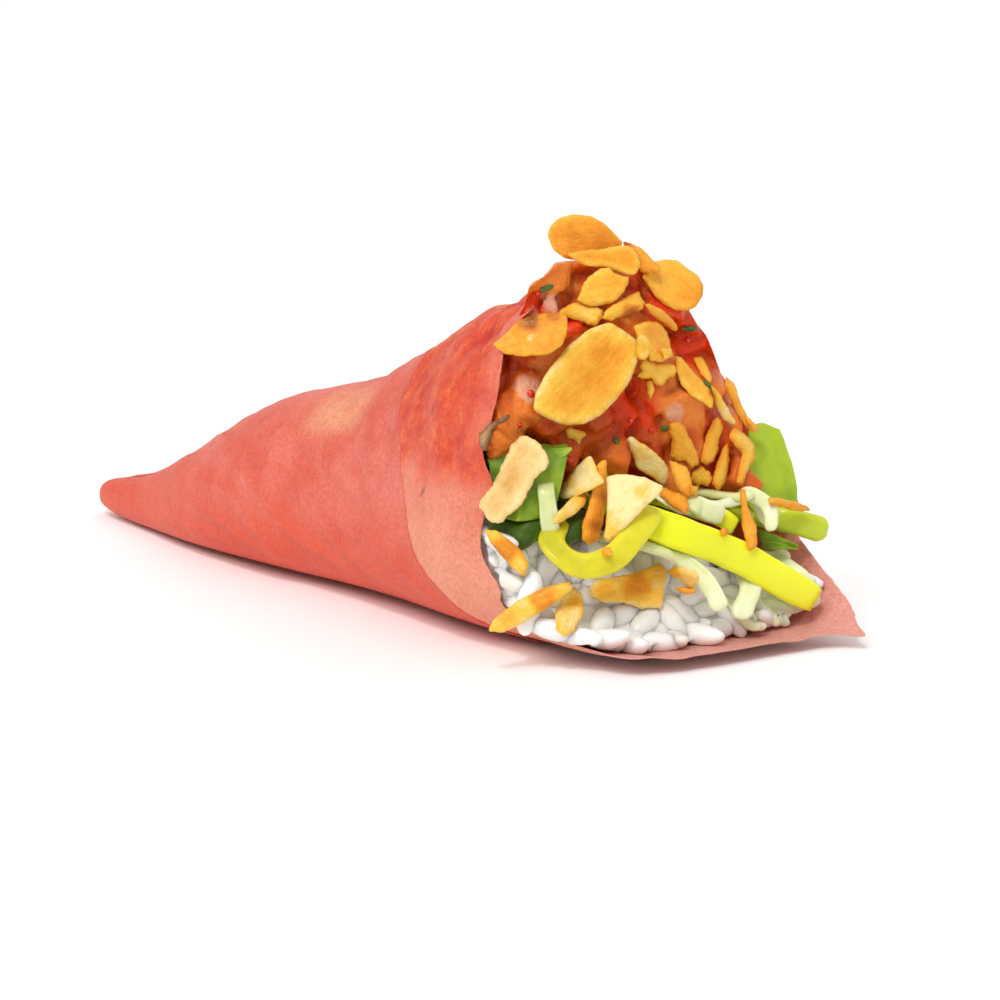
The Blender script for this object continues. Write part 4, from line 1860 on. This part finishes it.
SHARDS = (
    Flake("almond_blade_far", (0.75, 38.9, 1.55, 38.6, 2.7, 37.3, 4, 35.8, 5.45, 34.5, 5.6, 33.4,
     5.45, 32.1, 4.5, 32.75, 3, 33.7, 1.55, 35.2, 0.9, 36.95), 0.2, middle=0.1,
     burnt=((5.5, 34.2, 0.7, 0.5),)),
    Flake("almond_sliver_a", (3.2, 38.6, 4, 38.9, 4.5, 38.6, 5, 37.3, 5.5, 36, 5.3, 35.3, 4.5,
     36.1, 3.7, 37.3), 0.24),
    Flake("almond_edge_far", (7.4, 36.3, 8.6, 35.3, 8.9, 34, 9.5, 32.4, 10.5, 30.75, 11.5, 30.1,
     11.75, 29.25, 10.9, 29.1, 9.75, 30.1, 8.75, 31.6, 7.9, 33.4, 7.25, 35), 0.24, edge=0.1),
    Flake("almond_sliver_b", (5.3, 35.2, 6.1, 34.5, 7.25, 32.75, 8.5, 30.45, 8.4, 30.1, 6.9, 30.75,
     6.1, 32.4), 0.1, tip=0.12),
    Flake("almond_crust", (-23.6, 27.05, -23.75, 28.7, -22.6, 30, -21.6, 30.6, -20, 31.3, -19.75,
     31.1, -20.65, 30.3, -21.8, 29.5, -22.4, 28, -23, 26.7), 0.12, edge=0.45, rough=0.2,
     finish=CRUST),
    Flake("almond_pale_far", (7.8, 28.5, 8.35, 29.6, 9.75, 28.9, 11.1, 27.5, 11.1, 25.75, 10.1, 24,
     9.4, 22.25, 8.7, 22.6, 8.9, 24.3, 9.4, 26.4, 8.35, 27.5), 0.16, edge=0.22, rough=0.16),
    Flake("almond_sliver_c", (5.55, 22.4, 5.9, 24.3, 6.95, 27.1, 7.6, 27.8, 7.8, 26.4, 7.6, 24.3,
     7.1, 22.25, 6.25, 21.45), 0.22, edge=0.18, rough=0.14),
    Flake("almond_shard_mid", (-0.05, 30.1, 1.2, 30.6, 2.05, 29.75, 2.6, 28.2, 3.6, 26.6, 3.8, 25,
     2.75, 24.5, 2.2, 25.4, 1, 25.4, 0.1, 26.1, 0.3, 28.2), 0.24, edge=0.12, rough=0.2),
    Flake("almond_shard_far", (4.1, 25.25, 4.3, 27.1, 5, 28.9, 5.55, 30.6, 6.25, 31.1, 6.75, 30.6,
     6.95, 29.6, 6.4, 28.2, 6.25, 26.4, 5.55, 25.4, 4.7, 24.9), 0.28, edge=0.08, rough=0.14),
    Flake("almond_vee_upper", (-0.05, 25.4, 1, 25.2, 2.2, 24.5, 2.75, 23.1, 3.1, 21.2, 2.25, 20.6,
     1.25, 21.6, 0.5, 23.1), 0.27, tip=-0.1, rough=0.16, thick=1.0),
    Flake("almond_vee_lower", (-1.3, 21.2, -0.75, 21.9, 0.8, 21.45, 2.25, 20.9, 2.5, 19.6, 1.9,
     18.75, 0.3, 19.8), 0.34, edge=0.08, rough=0.16, thick=1.0),
    Flake("almond_chip_far", (2.75, 23.1, 3.1, 24.15, 4.1, 24.7, 5.2, 24, 5.5, 23.3, 5, 22.05, 4.1,
     22.4, 3.6, 22.05), 0.22, edge=0.14, rough=0.22),
    Flake("almond_two_tone", (-7.9, 23.6, -5.5, 23.8, -2.9, 23.45, -0.75, 22.25, -2.15, 20.65,
     -3.75, 19.1, -5.65, 17.15, -7.6, 15.4, -8.3, 15.9, -7.9, 18.4, -7.75, 20.8, -7.9, 22.6), 0.0,
     tip=-0.16, burnt=((-3.2, 21.6, 1.6, 0.12),)),
    Flake("almond_pale_mid", (-5.5, 28.2, -4.95, 28.6, -3.2, 27.5, -1.45, 26.1, -0.1, 24.5, -0.25,
     23.1, -0.75, 22.4, -2.5, 23.5, -4.1, 24.5, -4.95, 26.8), 0.03, edge=0.08,
     burnt=((-3.6, 26.4, 1.6, 0.1),)),
    Flake("almond_brown_bar", (-9, 25, -8, 25.75, -7.9, 23.1, -8, 20.6, -8.5, 18.1, -9, 15.6, -10,
     15, -10.9, 15.6, -10.9, 17.5, -10.1, 20, -9.4, 22.5), 0.42, edge=-0.1,
     burnt=((-9.6, 17.4, 1.2, 0.2), (-8.6, 21.0, 1.2, 0.15)), thick=1.3),
    Flake("almond_chip_low", (-14.6, 17.8, -13.8, 19.25, -12.2, 21, -10.4, 21.4, -10.6, 19.9,
     -12.2, 18.6, -13.8, 17.8), 0.12, tip=0.12),
    Flake("almond_fan", (-13.8, 20.9, -13.5, 22.5, -12.2, 24.1, -10.6, 25.75, -9.9, 26.1, -9.1,
     24.45, -8.25, 22.9, -10.25, 21.7, -12.2, 20.9, -13.5, 20.7), 0.06, edge=0.06,
     burnt=((-12.6, 22.8, 1.4, 0.14),)),
    Flake("pale_chip", (-23.8, 19.9, -23.4, 20.9, -22.3, 22.1, -21.5, 23.7, -20.8, 25.3, -19.8,
     27.5, -18.5, 28.6, -16.7, 28.2, -15.2, 26.3, -15.0, 25.2, -15.8, 24.2, -16.7, 23.4, -17.4,
     22.2, -18.7, 19.9, -21.1, 17.8, -22.3, 17.8), 0.16, middle=0.12,
     burnt=((-20.0, 23.2, 2.2, 0.1),), cup=0.5, rough=0.2, finish=CHIP, rounding=0.15),
    Flake("almond_near_rim", (-23, 17.1, -21.3, 16.8, -18.7, 14.8, -17.5, 12.8, -18, 11.1, -19.4,
     12.1, -21, 13.8, -22.3, 15.5), 0.14, edge=0.1, burnt=((-20.4, 14.6, 2.2, 0.34),)),
    Flake("almond_leaf_low", (-22.5, 4.5, -22, 5.8, -19, 8.1, -15.7, 9.8, -12.4, 10.7, -12, 9.8,
     -14.4, 7.8, -17.7, 5.8, -20.7, 4.25), 0.14,
     burnt=((-15.6, 8.6, 2.6, 0.3), (-20.2, 6.2, 1.4, 0.14))),
    Flake("almond_oval_low", (-14.1, 4.8, -14.3, 6.8, -13.3, 8.8, -12, 9.8, -10.9, 8.8, -10.7, 6.8,
     -11.7, 4.8, -13, 3.8), 0.08, edge=0.08, burnt=((-12.2, 7.8, 1.2, 0.2),)),
    Flake("almond_block_low", (-10.2, 8.8, -9.7, 10.5, -7, 10.8, -3.7, 11.5, -1.3, 12.6, -0.2,
     11.5, -0.7, 9.5, -1, 6.9, -3.7, 7.1, -6, 7.8, -8.3, 7.8), 0.16, edge=-0.08,
     burnt=((-4.4, 10.0, 2.2, 0.3), (-8.2, 9.2, 1.4, 0.14)), rough=0.14),
    Flake("almond_bit_low", (-0.3, 11.5, 0.7, 12.1, 3.3, 11.5, 3.7, 10.5, 2.7, 9.1, 1.7, 10.1),
     0.1, burnt=((0.8, 11.4, 1.0, 0.2),), rough=0.16),
    Flake("almond_needle", (9, 21.8, 9.7, 21.8, 10, 19.5, 11, 16.8, 11, 14.5, 10, 14.1, 9.3, 16.8),
     0.3, edge=0.1, thick=1.15),
    Flake("almond_sliver_far", (12.7, 20.7, 15, 20.4, 17.7, 19.6, 18.3, 18.9, 15.7, 19.1, 13,
     19.9), 0.34, thick=1.1),
)
CRUMBS = (
    ((-4.3, 39.9, -4.1, 41.2, -3.3, 41.4, -2.5, 40.5, -2.5, 38.9, -3.1, 38.25, -4, 38.4), 0.18),
    ((-13.25, 29.4, -12.5, 29.8, -10.6, 29.1, -10.4, 28.7, -11.1, 28.4, -11.4, 27.5, -12, 28, -13,
     28.5), 0.2),
    ((6.4, 16.8, 7.2, 17.0, 7.4, 16.2, 6.6, 15.9), 0.4),
    ((0.4, 9.4, 1.9, 9.6, 3.4, 9.0, 2.2, 8.6), 0.34),
    ((-3.0, 35.6, -2.2, 35.9, -1.9, 34.4, -2.4, 33.2, -2.8, 34.0), 0.2),
    ((-1.2, 39.6, 0.2, 39.9, 0.4, 38.7, -0.6, 38.2), 0.2),
    ((9.6, 31.2, 10.6, 31.0, 11.2, 29.6, 10.2, 29.9), 0.3),
    ((2.4, 22.4, 3.6, 22.2, 3.4, 20.9, 2.6, 21.3), 0.26),
    ((-8.6, 14.8, -7.4, 14.9, -7.0, 13.9, -8.2, 13.7), 0.3),
)


@dataclass
class AlmondTopping:
    """Every toasted slice, shard, chip and crumb, laid on what is under it."""

    crumb_rough: float = 0.14
    crumb_fill: float = 0.35
    crumb_points: int = 30

    def crumbs(self) -> list[Flake]:
        """The crumbs that came to rest on the rest."""
        form = {"rough": self.crumb_rough, "fill": self.crumb_fill, "rim_points": self.crumb_points}
        rows = zip("abcdefghi", CRUMBS)
        return [Flake(f"crumb_{key}", *row, is_node=False, **form) for key, row in rows]

    def build(self) -> list[Object]:
        """Lays every piece on what is under it, the deepest first, and the crumbs on top."""
        made = []
        for flake in [*sorted([*SLICES, *SHARDS], key=Flake.depth), *self.crumbs()]:
            made.append(flake.build())
            PILE.take(made[-1:])
        return made


@dataclass
class Garnish:
    """Fish roe in the dressing and cut chives, each on what lies under it."""

    # across, up, radius
    roe: tuple = (
        (-12.8, 25.5, 0.6), (-17.5, 33.9, 0.52), (-16.6, 46.6, 0.4), (-5.0, 30.6, 0.4),
        (-2.4, 29.4, 0.36), (2.4, 41.0, 0.4), (-18.8, 30.0, 0.36), (-11.2, 43.0, 0.36),
    )
    # across, up, length, turn
    chives: tuple = (
        (-15.5, 47.2, 1.9, 15), (2.6, 42.5, 2.4, -12), (5.0, 35.0, 2.0, -40),
        (-0.6, 29.6, 1.1, 30), (-18.2, 45.6, 1.2, 60), (-6.8, 28.0, 1.0, -50),
    )
    chive_wide: float = 0.42
    chive_deep: float = 0.22

    def beads(self) -> Object:
        """Builds the roe, half sunk in the dressing."""
        bm = bmesh.new()
        for across, up, radius in self.roe:
            place, normal = PILE.top(across, up)
            middle = Matrix.Translation((place + normal * radius * 0.1 + Placement.offset) * MM)
            bmesh.ops.create_icosphere(bm, subdivisions=2, radius=radius * MM, matrix=middle)
        return self.dressed("roe_beads", bm, ROE)

    def cuttings(self) -> Object:
        """Builds the cut chives, lying flat on the heap."""
        bm = bmesh.new()
        for across, up, length, turn in self.chives:
            place, normal = PILE.top(across, up)
            angle = math.radians(turn)
            way = MOUTH.across * math.cos(angle) + MOUTH.upward * math.sin(angle)
            way = (way - normal * way.dot(normal)).normalized()
            side = normal.cross(way) * self.chive_wide
            form = Matrix((side, normal * self.chive_deep, way * length / 2)).transposed().to_4x4()
            middle = Matrix.Translation((place + normal * 0.12 + Placement.offset) * MM)
            form = middle @ Matrix.Diagonal((MM, MM, MM, 1)) @ form
            bmesh.ops.create_uvsphere(bm, u_segments=12, v_segments=8, radius=1.0, matrix=form)
        bmesh.ops.recalc_face_normals(bm, faces=bm.faces[:])
        return self.dressed("chive_cuttings", bm, CHIVE)

    def dressed(self, name: str, bm: bmesh.types.BMesh, finish: Finish) -> Object:
        """Ends a working mesh as a finished piece.

        Args:
            name: the piece's name.
            bm: the working mesh, which ends here.
            finish: what it is made of.

        Returns:
            The finished object.
        """
        mesh = bpy.data.meshes.new(name)
        bm.to_mesh(mesh)
        bm.free()
        return finished(name, mesh, finish)

    def build(self) -> list[Object]:
        """Builds the roe and the chives."""
        return [self.beads(), self.cuttings()]


# ---- floor, lights and camera


@dataclass
class Studio:
    """A plain pale floor, soft lights and the camera."""

    floor_side: float = 20000.0
    distance: float = 450.0
    lens: float = 129.6
    sensor: float = 36.0
    shift_right: float = 21.25
    shift_up: float = 20.6
    room: float = 0.62
    # name, direction from the roll, watts for each square metre, width in degrees
    lights: tuple = (
        ("key", (0.15, -0.75, 0.9), 1.4, 40), ("back", (-0.3, 0.8, 0.8), 0.4, 70),
        ("spark", (0.35, -0.5, 0.9), 0.6, 5),
    )

    def floor(self) -> None:
        """Lays the pale floor, which isn't part of the roll."""
        half = self.floor_side / 2 * MM
        mesh = bpy.data.meshes.new("floor")
        corners = [(-half, -half, 0), (half, -half, 0), (half, half, 0), (-half, half, 0)]
        mesh.from_pydata(corners, [], [(0, 1, 2, 3)])
        made = Finish(
            "white_board", "", 0.6, ior=1.5, grains=(Grain(40, 2.0, tone=1.0),),
            colours=((0.3, "#fbfaf9"), (0.7, "#fdfdfc")),
        )
        mesh.materials.append(made.material())
        linked("floor", mesh)

    def light(self, name: str, towards: tuple, strength: float, angle: float) -> None:
        """Adds one wide, soft light that is the same over the whole floor.

        Args:
            name: the light's name.
            towards: the direction from the roll to the light.
            strength: its strength in watts for each square metre.
            angle: how wide it looks from the roll, in degrees.
        """
        data = bpy.data.lights.new(name, "SUN")
        data.energy, data.angle = strength, math.radians(angle)
        lamp = linked(name, data)
        lamp.rotation_euler = Vector(towards).to_track_quat("Z", "Y").to_euler()

    def camera(self) -> None:
        """Stands the camera in front of the mouth and to one side."""
        back, right, up = MOUTH.outward, MOUTH.across, MOUTH.upward
        place = MOUTH.origin + back * self.distance - right * self.shift_right + up * self.shift_up
        data = bpy.data.cameras.new("camera")
        data.lens, data.sensor_width, data.clip_start = self.lens, self.sensor, 0.01
        camera = linked("camera", data)
        turned = Matrix((right, up, back)).transposed().to_4x4()
        camera.matrix_world = Matrix.Translation((place + Placement.offset) * MM) @ turned
        bpy.context.scene.camera = camera

    def build(self) -> None:
        """Sets up the floor, the lights, the surroundings and the camera."""
        self.floor()
        for row in self.lights:
            self.light(*row)
        world = bpy.data.worlds.new("white_room")
        world.use_nodes = True
        inputs = world.node_tree.nodes["Background"].inputs
        inputs["Color"].default_value, inputs["Strength"].default_value = (1, 1, 1, 1), self.room
        bpy.context.scene.world = world
        bpy.context.scene.view_settings.view_transform = "Standard"
        self.camera()


def main() -> None:
    """Builds the roll from its paper to its toppings, then the studio."""
    logging.basicConfig(level=logging.INFO, format="%(name)s %(message)s")
    Placement.find()
    SoyWrap().build()
    rice = RiceBed().build()
    heap = SalmonHeap().build()
    PILE.take([*rice, heap])
    PILE.take(Greens().build())
    AlmondTopping().build()
    Garnish().build()
    Studio().build()


if __name__ == "__main__":
    main()
